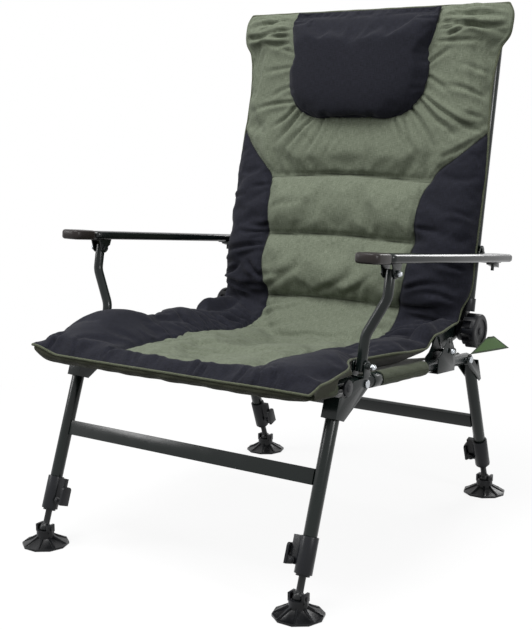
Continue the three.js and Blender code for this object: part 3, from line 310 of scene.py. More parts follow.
# %% Zinc plate
def plated_steel(name, bright, dull, roughness):
    material, tree = new_material(name)
    place = add_node(tree, "ShaderNodeTexCoord").outputs["Object"]
    bath = add_node(
        tree, "ShaderNodeTexNoise", {"Vector": place, "Scale": 240.0, "Detail": 4.0, "Roughness": 0.6}
    )
    scuffs = add_node(
        tree, "ShaderNodeTexNoise", {"Vector": place, "Scale": 900.0, "Detail": 3.0}
    )
    tone = add_node(
        tree, "ShaderNodeMix", {"Factor": bath.outputs["Fac"], "A": srgb(bright), "B": srgb(dull)},
        data_type="RGBA",
    )
    shine = add_node(
        tree, "ShaderNodeMapRange",
        {"Value": scuffs.outputs["Fac"], "To Min": roughness - 0.06, "To Max": roughness + 0.1},
    )
    bump = add_node(
        tree, "ShaderNodeBump", {"Height": scuffs.outputs["Fac"], "Strength": 0.15, "Distance": 0.0002}
    )
    metal = add_node(
        tree, "ShaderNodeBsdfPrincipled",
        {"Base Color": tone.outputs["Result"], "Metallic": 1.0, "Roughness": shine.outputs[0],
         "Normal": bump.outputs[0]},
    )
    add_node(tree, "ShaderNodeOutputMaterial", {"Surface": metal.outputs[0]})
    return material


zinc = plated_steel("bright zinc plate", "#d6d9dc", "#8f959b", 0.24)

# %% [markdown]
# ## Moulded plastic
# Clips, levers, feet and knobs are black glass-filled nylon. The mould has a fine spark-eroded
# texture, about 0.3 mm in grain, drawn here at 0.6 mm so that it still shows. It scatters the light
# into a broad soft shine, and edges that rub the ground or a hand go a little grey.

# %% Moulded nylon
def moulded_nylon(name, colour, rubbed, roughness, grain=0.25):
    material, tree = new_material(name)
    place = add_node(tree, "ShaderNodeTexCoord").outputs["Object"]
    sparks = add_node(
        tree, "ShaderNodeTexNoise", {"Vector": place, "Scale": 1600.0, "Detail": 2.0, "Roughness": 0.7}
    )
    dust = add_node(
        tree, "ShaderNodeTexNoise", {"Vector": place, "Scale": 60.0, "Detail": 6.0, "Roughness": 0.65}
    )
    edges = add_node(tree, "ShaderNodeNewGeometry").outputs["Pointiness"]
    corners = add_node(tree, "ShaderNodeMapRange", {"Value": edges, "From Min": 0.52, "From Max": 0.63})
    dusty = add_node(
        tree, "ShaderNodeMapRange",
        {"Value": dust.outputs["Fac"], "From Min": 0.5, "From Max": 0.8, "To Max": 0.4},
    )
    wear = add_node(
        tree, "ShaderNodeMath", {0: corners.outputs[0], 1: dusty.outputs[0]}, operation="MAXIMUM"
    )
    tone = add_node(
        tree, "ShaderNodeMix", {"Factor": wear.outputs[0], "A": srgb(colour), "B": srgb(rubbed)},
        data_type="RGBA",
    )
    shine = add_node(
        tree, "ShaderNodeMapRange",
        {"Value": dust.outputs["Fac"], "From Min": 0.3, "From Max": 0.7,
         "To Min": roughness - 0.05, "To Max": roughness + 0.07},
    )
    bump = add_node(
        tree, "ShaderNodeBump", {"Height": sparks.outputs["Fac"], "Strength": grain, "Distance": 0.0001}
    )
    plastic = add_node(
        tree, "ShaderNodeBsdfPrincipled",
        {"Base Color": tone.outputs["Result"], "Roughness": shine.outputs[0], "IOR": 1.53,
         "Specular IOR Level": 0.2, "Normal": bump.outputs[0]},
    )
    add_node(tree, "ShaderNodeOutputMaterial", {"Surface": plastic.outputs[0]})
    return material


clip_plastic = moulded_nylon("glass-filled nylon", "#0f1013", "#24262a", 0.34)
foot_plastic = moulded_nylon("nylon foot", "#0d0e10", "#26272a", 0.3, grain=0.18)
knob_plastic = moulded_nylon("nylon hand knob", "#090a0e", "#16181d", 0.42)
cap_plastic = moulded_nylon("brown-black end cap", "#1f1b1a", "#38312f", 0.36)
print("rigid finishes:", [m.name for m in bpy.data.materials if m.node_tree])

# %% [markdown]
# ## Woven polyester
# The cover is 600-denier polyester in a plain weave, olive green in the middle and black at the
# sides. Its threads lie about half a millimetre apart, too fine to show at this distance, so they
# are drawn at 1.6 mm: enough to break the colour into the fine grain that the eye reads as cloth.
# The yarn is slightly uneven, which gives the faint streaks along both thread directions.
# The pattern follows each piece's own UV map, laid out in metres, so it bends with the cloth.

# %% Weave
cloth_map = "cloth"
cover_thread = 0.0016


def weave(tree, thread):
    """Height of the threads, and a streaky unevenness of the yarn, both from 0 to 1."""
    flat = add_node(tree, "ShaderNodeUVMap", uv_map=cloth_map).outputs["UV"]
    heights = []
    for direction in ("X", "Y"):
        waves = add_node(
            tree, "ShaderNodeTexWave",
            {"Vector": flat, "Scale": math.pi / 10 / thread, "Distortion": 0.6, "Detail": 1.0,
             "Detail Scale": 3.0},
            wave_type="BANDS", bands_direction=direction, wave_profile="SIN",
        )
        heights.append(waves.outputs["Fac"])
    threads = add_node(tree, "ShaderNodeMath", {0: heights[0], 1: heights[1]}, operation="MULTIPLY")
    streaks = []
    for stretch in ((90, 1400, 1), (1400, 90, 1)):
        long_way = add_node(tree, "ShaderNodeMapping", {"Vector": flat, "Scale": stretch})
        streaks.append(
            add_node(
                tree, "ShaderNodeTexNoise",
                {"Vector": long_way.outputs[0], "Scale": 1.0, "Detail": 2.0, "Roughness": 0.6},
            ).outputs["Fac"]
        )
    yarn = add_node(tree, "ShaderNodeMath", {0: streaks[0], 1: streaks[1]}, operation="ADD")
    uneven = add_node(
        tree, "ShaderNodeMapRange", {"Value": yarn.outputs[0], "From Min": 0.75, "From Max": 1.25}
    )
    return threads.outputs[0], uneven.outputs[0]


def woven_cloth(name, dark, light, thread=cover_thread, sheen=0.12):
    material, tree = new_material(name)
    threads, uneven = weave(tree, thread)
    yarn = add_node(
        tree, "ShaderNodeMix", {"Factor": uneven, "A": srgb(dark), "B": srgb(light)},
        data_type="RGBA",
    )
    bump = add_node(
        tree, "ShaderNodeBump", {"Height": threads, "Strength": 0.35, "Distance": 0.0005}
    )
    cloth = add_node(
        tree, "ShaderNodeBsdfPrincipled",
        {"Base Color": yarn.outputs["Result"], "Roughness": 0.88, "IOR": 1.45,
         "Specular IOR Level": 0.2, "Sheen Weight": sheen, "Sheen Roughness": 0.45,
         "Normal": bump.outputs[0]},
    )
    add_node(tree, "ShaderNodeOutputMaterial", {"Surface": cloth.outputs[0]})
    return material


# Painted shade: this is the cover's green cloth given a darker colour to stand for the shade under the
# padding. It dresses the slings, the cover's under face, the front pocket and the corner gussets.
green_cloth_painted_shaded = woven_cloth("green canvas painted dark as shade", "#2a2b21", "#3d3f31")
black_cover = woven_cloth("black polyester", "#0e0f15", "#20212a", sheen=0.03)
olive_sleeve = woven_cloth("olive polyester sleeve", "#383d30", "#4e5443")
piping_cloth = woven_cloth("olive bias tape", "#44483a", "#5f6450", thread=0.0011)

# %% [markdown]
# ## The cover's two colours and its seams
# Green and black panels meet in sewn seams. Each point of the cover carries two numbers: how far
# it is from the edge of the black panels, and how far from the nearest seam. The material turns
# the first into a sharp change of yarn colour, and the second into a dark line of painted shade
# along the seam, standing for the shadow in its groove. This keeps the lines sharp at any
# resolution, because only a distance is stored in the mesh.

# %% Cover material
def quilted_cover():
    material, tree = new_material("quilted polyester cover")
    threads, uneven = weave(tree, cover_thread)
    green, black = (
        add_node(
            tree, "ShaderNodeMix", {"Factor": uneven, "A": srgb(dark), "B": srgb(light)},
            data_type="RGBA",
        ).outputs["Result"]
        for dark, light in (("#545a4b", "#757c6c"), ("#0e0f15", "#20212b"))
    )
    from_black = add_node(tree, "ShaderNodeAttribute", attribute_name="to_black").outputs["Fac"]
    is_black = add_node(
        tree, "ShaderNodeMapRange",
        {"Value": from_black, "From Min": -0.0004, "From Max": 0.0004},
    ).outputs[0]
    panels = add_node(
        tree, "ShaderNodeMix", {"Factor": is_black, "A": green, "B": black}, data_type="RGBA"
    ).outputs["Result"]
    from_seam = add_node(tree, "ShaderNodeAttribute", attribute_name="to_seam").outputs["Fac"]
    # Painted shade: within about 2 mm of each seam the cloth is mixed towards near-black, standing for
    # the shadow in the seam's groove.
    seam_shade_painted = add_node(
        tree, "ShaderNodeMapRange",
        {"Value": from_seam, "From Min": 0.0004, "From Max": 0.0022, "To Min": 0.75, "To Max": 0.0},
    ).outputs[0]
    panels_with_seam_shade = add_node(
        tree, "ShaderNodeMix", {"Factor": seam_shade_painted, "A": panels, "B": srgb("#14160f")},
        data_type="RGBA",
    ).outputs["Result"]
    bump = add_node(
        tree, "ShaderNodeBump", {"Height": threads, "Strength": 0.35, "Distance": 0.0005}
    )
    cloth = add_node(
        tree, "ShaderNodeBsdfPrincipled",
        {"Base Color": panels_with_seam_shade, "Roughness": 0.86, "IOR": 1.45, "Specular IOR Level": 0.2,
         "Sheen Weight": 0.04, "Sheen Roughness": 0.45, "Normal": bump.outputs[0]},
    )
    add_node(tree, "ShaderNodeOutputMaterial", {"Surface": cloth.outputs[0]})
    return material


cover = quilted_cover()
print("cloth finishes ready")

# %% [markdown]
# ## The padded cover
# On the real chair one long quilted cover runs from the front rail, down into the crease under the
# back, and up over the top tube. It is two layers of cloth with hollow-fibre wadding between them,
# sewn through in lines that leave puffed channels. It could be sculpted by hand, but its shape is
# ruled by sizes that can be named: how far it hangs, how thick it is along its length and where it
# is sewn. So it is laid out as a grid, `across` and `along` the cloth, and every point is placed by
# those sizes. Two straight frames carry it, the seat rails and the back tubes.

# %% Where the two frames are
def side_frame(origin, tilt):
    """Turns (along, out) in a tilted frame into y and z; arrays are welcome."""
    cosine, sine = math.cos(tilt), math.sin(tilt)
    return lambda along, out: (
        origin[0] + along * cosine - out * sine,
        origin[1] + along * sine + out * cosine,
    )


rail_origin, rail_tilt = (-162.014, 309.739), math.radians(-4.7)
hinge, back_lean = (221.966, 330.346), 11
rail_point = side_frame(rail_origin, rail_tilt)
back_point = side_frame(hinge, math.radians(90 - back_lean))
rail_from_middle, front_rail, top_rail = 250, -148, 562
print("rails", 2 * rail_from_middle, "mm apart, back leaning by", back_lean, "degrees")

# %% Soft steps and curves
def smoothstep(start, end, value):
    share = np.clip((np.asarray(value, float) - start) / (end - start), 0, 1)
    return share * share * (3 - 2 * share)


def bell(distance, run):
    """1 at no distance and falling to nothing within a few runs."""
    return np.exp(-((np.asarray(distance) / run) ** 2))


def crown(share, power=4.5):
    """Fullness of a pad from its middle, 0, to its edges, -1 and 1."""
    return np.sqrt(np.clip(1 - np.abs(share) ** power, 0, 1))


def curve_through(points):
    """A smooth function of one number through pairs of (number, value)."""
    xs, ys = (np.array(column, float) for column in zip(*points))
    slopes = np.gradient(ys, xs)
    flat = np.sign(np.diff(ys, prepend=ys[0])) * np.sign(np.diff(ys, append=ys[-1])) <= 0
    slopes[flat] = 0

    def value(at):
        at = np.clip(np.asarray(at, float), xs[0], xs[-1])
        i = np.clip(np.searchsorted(xs, at, side="right") - 1, 0, len(xs) - 2)
        run = xs[i + 1] - xs[i]
        t = (at - xs[i]) / run
        return (
            (1 + 2 * t) * (1 - t) ** 2 * ys[i] + t * (1 - t) ** 2 * run * slopes[i]
            + t * t * (3 - 2 * t) * ys[i + 1] + t * t * (t - 1) * run * slopes[i + 1]
        )

    return value


# %% [markdown]
# ### Sizes of the cover
# The seat part is measured along the rails and the back part up the tubes. They end and start at
# the two sides of the crease, and a smooth bend joins them. Each curve goes through pairs of a
# place along the cover and a size there, both in millimetres.

# %% Sizes along the cover
seat_start, seat_end = -170, 205
back_start, back_end = 27, 577
crease_run = 150
crease_from = seat_end - seat_start
crease_to = crease_from + crease_run
cover_length = crease_to + back_end - back_start
seams_up_the_back = (27, 145, 259)

seat_half_width = curve_through(
    [(-170, 266), (-158, 270), (-75, 270), (-30, 248), (5, 236), (30, 230), (75, 226), (110, 236),
     (150, 248), (205, 248)]
)
back_half_width = curve_through(
    [(27, 250), (60, 258), (90, 261), (150, 261), (190, 262), (280, 263), (490, 264), (502, 267),
     (512, 276), (530, 281), (562, 280), (577, 272)]
)
seat_padding = curve_through(
    [(-170, 8), (-158, 10), (-135, 11), (-105, 14), (-70, 20), (-30, 28), (205, 34)]
)
wing_padding = curve_through(
    [(-170, 10), (-158, 14), (-120, 20), (-60, 22), (12, 19), (100, 24), (205, 34)]
)
wing_lift = curve_through(
    [(-170, 0), (-125, 2), (-95, 8), (-60, 16), (12, 23), (100, 20), (205, 16)]
)
far_wing_swell = curve_through(
    [(-140, 0), (-80, 6), (-40, 17), (10, 22), (60, 19), (130, 16), (190, 9), (260, 0)]
)
front_droop = curve_through([(-170, 13), (-163, 9), (-155, 4), (-145, 0)])
side_face = curve_through(
    [(27, 56), (42, 66), (62, 74), (110, 74), (190, 66), (260, 53), (310, 45), (345, 39),
     (480, 35), (545, 34), (562, 31), (577, 24)]
)
back_face = curve_through(
    [(27, 56), (42, 66), (62, 74), (90, 76), (115, 69), (136, 58), (145, 53), (152, 56), (166, 64),
     (190, 67), (215, 63), (240, 52), (252, 43), (259, 38), (267, 42), (277, 44), (310, 42),
     (345, 38), (480, 35), (545, 34), (562, 31), (577, 24)]
)
print("cover length along the cloth:", cover_length, "mm")

# %% Hang of the cloth that carries the padding
cloth_over_rail, seat_sag, seat_sag_run = 12, 30, 200
cloth_before_tube, back_sag, back_sag_run = 11.5, 12, 150


def hanging(x, from_rail, run, sag):
    """How far the cloth hangs at x, on the way from the rail across it, where it is held."""
    reach = np.clip(from_rail / run, 0, 1)
    across = np.minimum(np.abs(x) / rail_from_middle, 1)
    return sag * np.sin(math.pi / 2 * reach) * (1 - across**2)


def seat_cloth(x, along):
    return cloth_over_rail - hanging(x, along - front_rail, seat_sag_run, seat_sag)


def seat_rest(x, along):
    """The face that the padding's thickness is measured from."""
    rise = wing_lift(along) * smoothstep(150, 245, np.abs(x))
    swell = far_wing_swell(along) * smoothstep(140, 215, -x)
    droop = front_droop(along) * (1 - smoothstep(205, 262, -x))
    lining = 1.2
    return seat_cloth(x, along) + lining + rise + swell - droop


def seat_under(x, along, share):
    """The lining, which hangs a little below the piping and turns up to it at the edge."""
    hang = 9 * smoothstep(-90, -20, along) * smoothstep(0.55, 0.8, np.abs(share))
    return seat_rest(x, along) - hang * (1 - np.abs(share) ** 16)


def back_cloth(x, up):
    return hanging(x, top_rail - up, back_sag_run, back_sag) - cloth_before_tube


def back_under(x, up):
    """Behind the padding: on the cloth in the middle, and in front of the tubes beside it."""
    lining, clear_of_tubes, heel_depth = 1, 13.4, 20.6
    beside = smoothstep(222, 246, np.abs(x))
    above = smoothstep(482, 522, up)
    share = np.maximum(beside, above)
    heel = heel_depth * (1 - smoothstep(8, 75, up))
    return (back_cloth(x, up) - lining) * (1 - share) - clear_of_tubes * share - heel


# %% [markdown]
# ### From (across, along) to a place in space
# Three stretches are joined: the seat lies on its rails, the back stands on its tubes, and the
# crease between them is one cubic bend that leaves the seat level and arrives at the back upright.
# At its edges the crease climbs over the recliner clamps and arms, as the real cloth does.

# %% Faces of the cover
clamp_tops = curve_through([(55, 300), (92, 334), (130, 338), (165, 344), (220, 350)])
bare_cloth = 2


def rounded_lip(from_edge, run):
    """A quarter circle, from 0 at the end of the cover to 1 a run further in."""
    return np.sqrt(1 - np.clip(1 - from_edge / run, 0, 1) ** 2)


def seat_layers(share, along):
    x = share * seat_half_width(along)
    rest = seat_rest(x, along)
    under = seat_under(x, along, share)
    wing = smoothstep(140, 200, np.abs(x))
    thick = seat_padding(along) * (1 - wing) + wing_padding(along) * wing
    lip = rounded_lip(along - seat_start, 22)
    full = bare_cloth + (thick - bare_cloth) * crown(share) * lip
    return x, rail_point(along, under), rail_point(along, rest + full)


def back_layers(share, up):
    x = share * back_half_width(up)
    under = back_under(x, up)
    beside = smoothstep(158, 190, np.abs(x))
    thick = back_face(up) * (1 - beside) + side_face(up) * beside + under
    lip = rounded_lip(back_end - up, 14)
    full = np.where(thick > 0, bare_cloth + (thick - bare_cloth) * crown(share) * lip, 0)
    return x, back_point(up, -under), back_point(up, full - under)


def bend(t, p0, d0, p1, d1):
    """A cubic from p0 to p1 that leaves with slope d0 and arrives with slope d1."""
    return (
        (1 + 2 * t) * (1 - t) ** 2 * p0 + t * (1 - t) ** 2 * d0
        + t * t * (3 - 2 * t) * p1 + t * t * (t - 1) * d1
    )


def crease_layers(share, t):
    x0, *low = seat_layers(share, seat_end)
    x1, *high = back_layers(share, back_start)
    x = x0 * (1 - t) + x1 * t
    layers = []
    for (y0, z0), (y1, z1) in zip(low, high):
        chord = np.hypot(y1 - y0, z1 - z0)
        y = bend(t, y0, chord * 0.997, y1, chord * 0.35)
        z = bend(t, z0, chord * -0.06, z1, chord * 1.15)
        layers.append((y, z))
    under_y, under_z = layers[0]
    lift = np.maximum(0, clamp_tops(under_y) - under_z) * smoothstep(205, 232, np.abs(x))
    return x, *[(y, z + lift) for y, z in layers]


def cover_layers(share, v):
    """Points of the under face and the upper face, each as an array of x, y, z in mm."""
    parts = (
        seat_layers(share, np.minimum(seat_start + v, seat_end)),
        crease_layers(share, np.clip((v - crease_from) / crease_run, 0, 1)),
        back_layers(share, np.maximum(back_start + v - crease_to, back_start)),
    )
    where = [v <= crease_from, (v > crease_from) & (v < crease_to), v >= crease_to]
    x = np.select(where, [p[0] for p in parts])
    faces = []
    for layer in (1, 2):
        y = np.select(where, [p[layer][0] for p in parts])
        z = np.select(where, [p[layer][1] for p in parts])
        faces.append(np.stack([x, y, z], -1))
    return faces


# %% [markdown]
# ### Grid of the cover
# The columns stand closer near the edges, where the padding turns over. Both faces use the same
# grid and share its outline, so the mesh is one closed pad. A pad is held along its outline and
# on its under face when it is blown up later.

# %% Points of a mesh
def point_uvs(piece):
    """The place of each point on the flat cloth, in mm."""
    mesh = piece.data
    corners = np.zeros(len(mesh.loops), int)
    mesh.loops.foreach_get("vertex_index", corners)
    flat = np.zeros(len(mesh.loops) * 2, np.float32)
    mesh.uv_layers[cloth_map].data.foreach_get("uv", flat)
    at_point = np.zeros((len(mesh.vertices), 2))
    at_point[corners] = flat.reshape(-1, 2)
    return at_point * 1000


def places(piece):
    return np.array([v.co for v in piece.data.vertices]) * 1000


def move_points(piece, points):
    piece.data.vertices.foreach_set("co", (points / 1000).astype(np.float32).ravel())
    piece.data.update()


def normals(piece):
    return np.array([v.normal for v in piece.data.vertices])


# %% Meshes from grids of points
def quads(index, outward):
    a, b, c, d = index[:-1, :-1], index[:-1, 1:], index[1:, 1:], index[1:, :-1]
    order = (a, b, c, d) if outward else (d, c, b, a)
    return np.stack([corner.ravel() for corner in order], -1)


def mesh_piece(name, points, faces, flat, finish):
    """A mesh from points in mm, with their places on the flat cloth, in mm too, as its UV map."""
    mesh = bpy.data.meshes.new(name)
    mesh.from_pydata((points / 1000).tolist(), [], faces.tolist())
    corners = np.zeros(len(mesh.loops), int)
    mesh.loops.foreach_get("vertex_index", corners)
    uv = (flat / 1000)[corners].astype(np.float32)
    mesh.uv_layers.new(name=cloth_map).data.foreach_set("uv", uv.ravel())
    mesh.validate()
    mesh.materials.append(finish)
    return new_object(name, mesh)


def pad_piece(name, upper_face, under_face, flat, finish):
    """A closed pad, with the flat place of each of its points and 1 for each that is held."""
    outline = np.ones(upper_face.shape[:2], bool)
    outline[1:-1, 1:-1] = False
    upper_face[outline] = (upper_face + under_face)[outline] / 2
    upper_index = np.arange(outline.size).reshape(outline.shape)
    under_index = upper_index.copy()
    under_index[~outline] = outline.size + np.arange(np.count_nonzero(~outline))
    points = np.concatenate([upper_face.reshape(-1, 3), under_face[~outline]])
    flat = np.concatenate([flat.reshape(-1, 2), flat[~outline]])
    faces = np.concatenate([quads(upper_index, True), quads(under_index, False)])
    held = np.ones(len(points))
    held[: outline.size] = outline.ravel()
    return mesh_piece(name, points, faces, flat, finish), flat, held


def triangles(piece):
    return sum(len(face.vertices) - 2 for face in piece.data.polygons)


# %% Build the pad
across_steps, along_steps = 74, 168
cover_half_width = 270
turn = np.linspace(-1, 1, across_steps + 1)
shares = np.sign(turn) * (1 - (1 - np.abs(turn)) ** 1.25)
length_shares = np.linspace(0, 1, along_steps + 1)
closer_at_the_ends = 0.045 * np.sin(2 * math.pi * length_shares) / math.pi
stations = cover_length * (length_shares - closer_at_the_ends)
grid_share, grid_v = np.meshgrid(shares, stations)
under_face, upper_face = cover_layers(grid_share, grid_v)
cushion, cloth_place, edge_held = pad_piece(
    "padded_cover", upper_face, under_face,
    np.stack([grid_share * cover_half_width, grid_v], -1), cover,
)
# The under face gets the green cloth painted darker as shade.
cushion.data.materials.append(green_cloth_painted_shaded)
upper_count = len(cushion.data.polygons) // 2
cushion.data.polygons.foreach_set(
    "material_index", np.repeat([0, 1], upper_count).astype(np.int32)
)
print("cover grid:", *grid_share.shape, "points,", 2 * upper_count, "faces")

# %% [markdown]
# ### Where it is sewn
# Black panels run up both sides and across the front. On the seat and low on the back their edge
# is nearly straight; above the third channel it sweeps out to the edge of the cover. Three seams
# cross the green part of the back. From these curves every point learns its distance to
# the black panels and to the nearest seam.

# %% Seams and panels as distances
panel_edge = curve_through(
    [(0, 118), (60, 122), (110, 132), (160, 146), (250, 152), (crease_from, 148)]
    + [
        (crease_to + past, half_width)
        for past, half_width in (
            (0, 152), (60, 158), (118, 161), (200, 166), (232, 175), (248, 190), (270, 216),
            (295, 243), (314, 264), (330, 285), (345, 320),
        )
    ]
)
front_band = curve_through(
    [(-270, 62), (-130, 50), (-60, 38), (20, 29), (80, 36), (130, 54), (190, 80), (270, 84)]
)
channel_seams = [crease_to + up - back_start for up in seams_up_the_back]


def sewn_distances(x, v):
    """Distance into the black panels, which is negative on the green, and to the nearest seam."""
    slope = (panel_edge(v + 1) - panel_edge(v - 1)) / 2
    beyond = (np.abs(x) - panel_edge(v)) / np.sqrt(1 + slope**2)
    band = front_band(x) - v
    corner = 14
    share = np.clip(0.5 + (beyond - band) / (2 * corner), 0, 1)
    to_black = band * (1 - share) + beyond * share + corner * share * (1 - share)
    to_seam = np.abs(to_black)
    for seam in channel_seams:
        off_seam = v - seam - 3 * np.cos(x / 60)
        to_seam = np.minimum(to_seam, np.hypot(off_seam, np.maximum(beyond, 0)))
    return to_black, to_seam


# %% [markdown]
# ### Blowing up the wadding
# Cloth that is cut slightly too large and blown up from inside buckles the way stuffed cloth does.
# The under face and the seams are held still, and everything between is free. Growing the cloth
# by a few per cent gives the spare material that becomes puckers beside each seam. No point may
# move further than the cap, so that the shape stays the one that was laid out.

# %% Cloth simulation tool
def puff_up(piece, held, pressure, frames, cap, growth):
    """Lets the free points of a pad move as cloth, by cap mm at most."""
    rest = places(piece)
    group = piece.vertex_groups.new(name="held")
    levels = np.round(held, 2)
    for level in np.unique(levels[levels > 0]):
        group.add(np.flatnonzero(levels == level).tolist(), float(level), "REPLACE")
    modifier = piece.modifiers.new("cloth", "CLOTH")
    cloth = modifier.settings
    cloth.quality = 6
    cloth.mass = 0.3
    cloth.tension_stiffness = cloth.compression_stiffness = 12
    cloth.shear_stiffness = 6
    cloth.bending_stiffness = 0.15
    cloth.air_damping = 3
    cloth.vertex_group_mass = "held"
    cloth.use_pressure = True
    cloth.uniform_pressure_force = pressure
    cloth.shrink_min = -growth
    cloth.effector_weights.gravity = 0
    modifier.collision_settings.use_collision = False
    modifier.collision_settings.use_self_collision = False
    modifier.point_cache.frame_start = 1
    modifier.point_cache.frame_end = frames
    for frame_number in range(1, frames + 1):
        scene.frame_set(frame_number)
    shaped = piece.evaluated_get(bpy.context.evaluated_depsgraph_get())
    step = places(shaped) - rest
    piece.modifiers.remove(modifier)
    piece.vertex_groups.remove(group)
    scene.frame_set(1)
    reach = np.linalg.norm(step, axis=1, keepdims=True)
    move_points(piece, rest + step * np.minimum(1, cap / np.maximum(reach, 1e-6)))
    print(piece.name, "moved by the cloth at most", round(float(reach.max()), 1), "mm, mean",
          round(float(reach.mean()), 2), "mm, capped at", cap)


# %% Blow up the cover
_, seam_distance = sewn_distances(*cloth_place.T)
held = np.maximum(edge_held, 1 - smoothstep(2, 9, seam_distance))
puff_up(cushion, held, pressure=2.6, frames=16, cap=12, growth=0.045)

# %% [markdown]
# ### Smoothing and seams
# The pad is smoothed once, and each of its points then learns its two distances. Along the seams
# the thread pulls the cloth into the wadding, so a groove is pressed in there.

# %% Smooth the pad once and mark its seams
def subdivide_once(piece):
    smooth = piece.modifiers.new("smooth", "SUBSURF")
    smooth.levels = smooth.render_levels = 1
    apply_modifiers(piece)


subdivide_once(cushion)
flat_place = point_uvs(cushion)
flat_x, flat_v = flat_place.T
to_black, to_seam = sewn_distances(flat_x, flat_v)
for name, values in (("to_black", to_black), ("to_seam", to_seam)):
    layer = cushion.data.attributes.new(name, "FLOAT", "POINT")
    layer.data.foreach_set("value", (values / 1000).astype(np.float32))

upper = np.ones(len(cushion.data.vertices), bool)
for polygon in cushion.data.polygons:
    if polygon.material_index == 1:
        upper[list(polygon.vertices)] = False
seam_depth = seam_reach = 4.5
groove = seam_depth * bell(to_seam, seam_reach) * upper
move_points(cushion, places(cushion) - normals(cushion) * groove[:, None])
print("seam points:", int((groove > 1).sum()))

# %% [markdown]
# ### Folds
# The simulation gives soft puckers, but the folds that a viewer remembers have a cause: cloth
# pulled towards the pillow's seam, drawn in round the top tube, and pinched where the cover turns
# the corner from back to seat. Each is drawn as a line on the flat cloth, deepest at the end where
# it is held: a narrow valley between two ridges, fading towards the free end. A slight bow keeps
# neighbours from looking ruled.

# %% Fold tool
def fold_heights(x, v, lines, depth, width):
    """Height in mm at each point from lines of (x, v, x, v, share of depth), held end first."""
    height = np.zeros_like(x)
    for x0, v0, x1, v1, share in lines:
        run = math.hypot(x1 - x0, v1 - v0)
        ux, uv = (x1 - x0) / run, (v1 - v0) / run
        t = ((x - x0) * ux + (v - v0) * uv) / run
        bow = 0.06 * run * np.sin(math.pi * np.clip(t, 0, 1)) * math.sin(x0 + 2 * v0)
        off = (v - v0) * ux - (x - x0) * uv + bow
        wide = width * (0.75 + 0.6 * np.clip(t, 0, 1))
        fade = smoothstep(-0.12, 0.08, t) * (1 - smoothstep(0.5, 1.1, t))
        ridges = 0.8 * bell(off - 1.5 * wide, 1.2 * wide) + 0.5 * bell(off + 1.5 * wide, 1.2 * wide)
        height += depth * share * fade * (ridges - bell(off, 0.7 * wide))
    return height


# %% Where the cloth is pulled
pillow_pulls = [
    (-135, 894, -243, 878, 1), (-128, 886, -182, 843, 1.3), (-115, 876, -168, 811, 1.2),
    (-88, 862, -144, 795, 1.2), (-61, 865, -97, 789, 0.9), (-95, 849, -94, 815, 0.7),
    (-140, 925, -200, 900, 0.6), (-145, 960, -226, 951, 0.6), (-146, 985, -205, 1000, 0.6),
    (-20, 861, -56, 783, 0.5), (40, 861, 52, 800, 0.4), (91, 862, 115, 812, 1),
    (111, 862, 135, 801, 1.2), (122, 884, 172, 812, 1.3), (142, 897, 229, 825, 1.3),
    (149, 903, 267, 841, 1.4), (149, 940, 200, 905, 0.8), (142, 956, 190, 990, 0.8),
    (264, 905, 180, 925, 1), (243, 827, 190, 792, 1.1), (268, 870, 215, 878, 0.6),
    (268, 945, 200, 962, 0.6),
]
top_gathers = [
    (-164, 1062, -282, 1066, 1), (-160, 1048, -250, 1044, 1.2), (-158, 1030, -282, 1032, 1.4),
    (-160, 1018, -272, 1026, 1.5), (-156, 1004, -215, 1008, 0.8), (-158, 1040, -230, 1054, 0.8),
    (162, 1062, 282, 1058, 1), (158, 1045, 270, 1043, 1.3), (156, 1032, 276, 1036, 1.5),
    (160, 1022, 266, 1018, 1.2), (170, 1010, 215, 1030, 1), (158, 1000, 240, 1002, 0.6),
]
back_side_gathers = [
    (-160, 657, -205, 652, 1), (-174, 642, -228, 641, 1), (-165, 618, -262, 600, 1.5),
    (-256, 580, -205, 578, 0.8), (-256, 556, -205, 582, 1.4), (-160, 556, -195, 588, 1.4),
    (-256, 548, -180, 522, 1.6), (-250, 535, -190, 510, 1.2), (-160, 540, -215, 538, 1.2),
    (166, 668, 215, 662, 0.7), (258, 600, 200, 610, 0.8), (166, 560, 225, 572, 1),
    (250, 548, 185, 556, 1), (164, 528, 240, 536, 1.2), (248, 506, 180, 512, 1),
    (-262, 706, -215, 712, 0.6), (262, 690, 215, 700, 0.6), (-170, 735, -215, 728, 0.6),
]
corner_gathers = [
    (-158, 455, -215, 470, 1.2), (-152, 440, -222, 436, 1.6), (-150, 424, -210, 405, 1.2),
    (-149, 384, -225, 400, 1.3), (-148, 350, -205, 365, 1), (-146, 318, -240, 345, 1.2),
    (-150, 285, -238, 300, 1), (-148, 255, -225, 250, 0.8), (-146, 200, -240, 210, 0.9),
    (150, 452, 222, 470, 1.2), (150, 430, 232, 440, 1.3), (149, 404, 236, 408, 1.2),
    (148, 372, 225, 380, 1), (148, 340, 215, 332, 0.8), (147, 300, 200, 308, 0.7),
]
green_pulls = [
    (-157, 535, -60, 592, 1.3), (-150, 560, -70, 578, 0.7), (-33, 536, 60, 584, 1.1),
    (40, 540, 110, 590, 0.8), (-150, 690, -60, 700, 0.5), (-157, 500, -60, 520, 1.2),
    (-152, 472, -50, 505, 1.1), (-150, 440, -20, 470, 1), (150, 500, 70, 512, 0.8),
    (150, 470, 60, 486, 0.8), (-120, 120, 20, 205, 0.9), (-140, 165, 30, 265, 1),
    (-145, 215, 20, 320, 0.9), (-70, 100, 90, 195, 0.8), (-146, 290, 0, 372, 0.8),
]
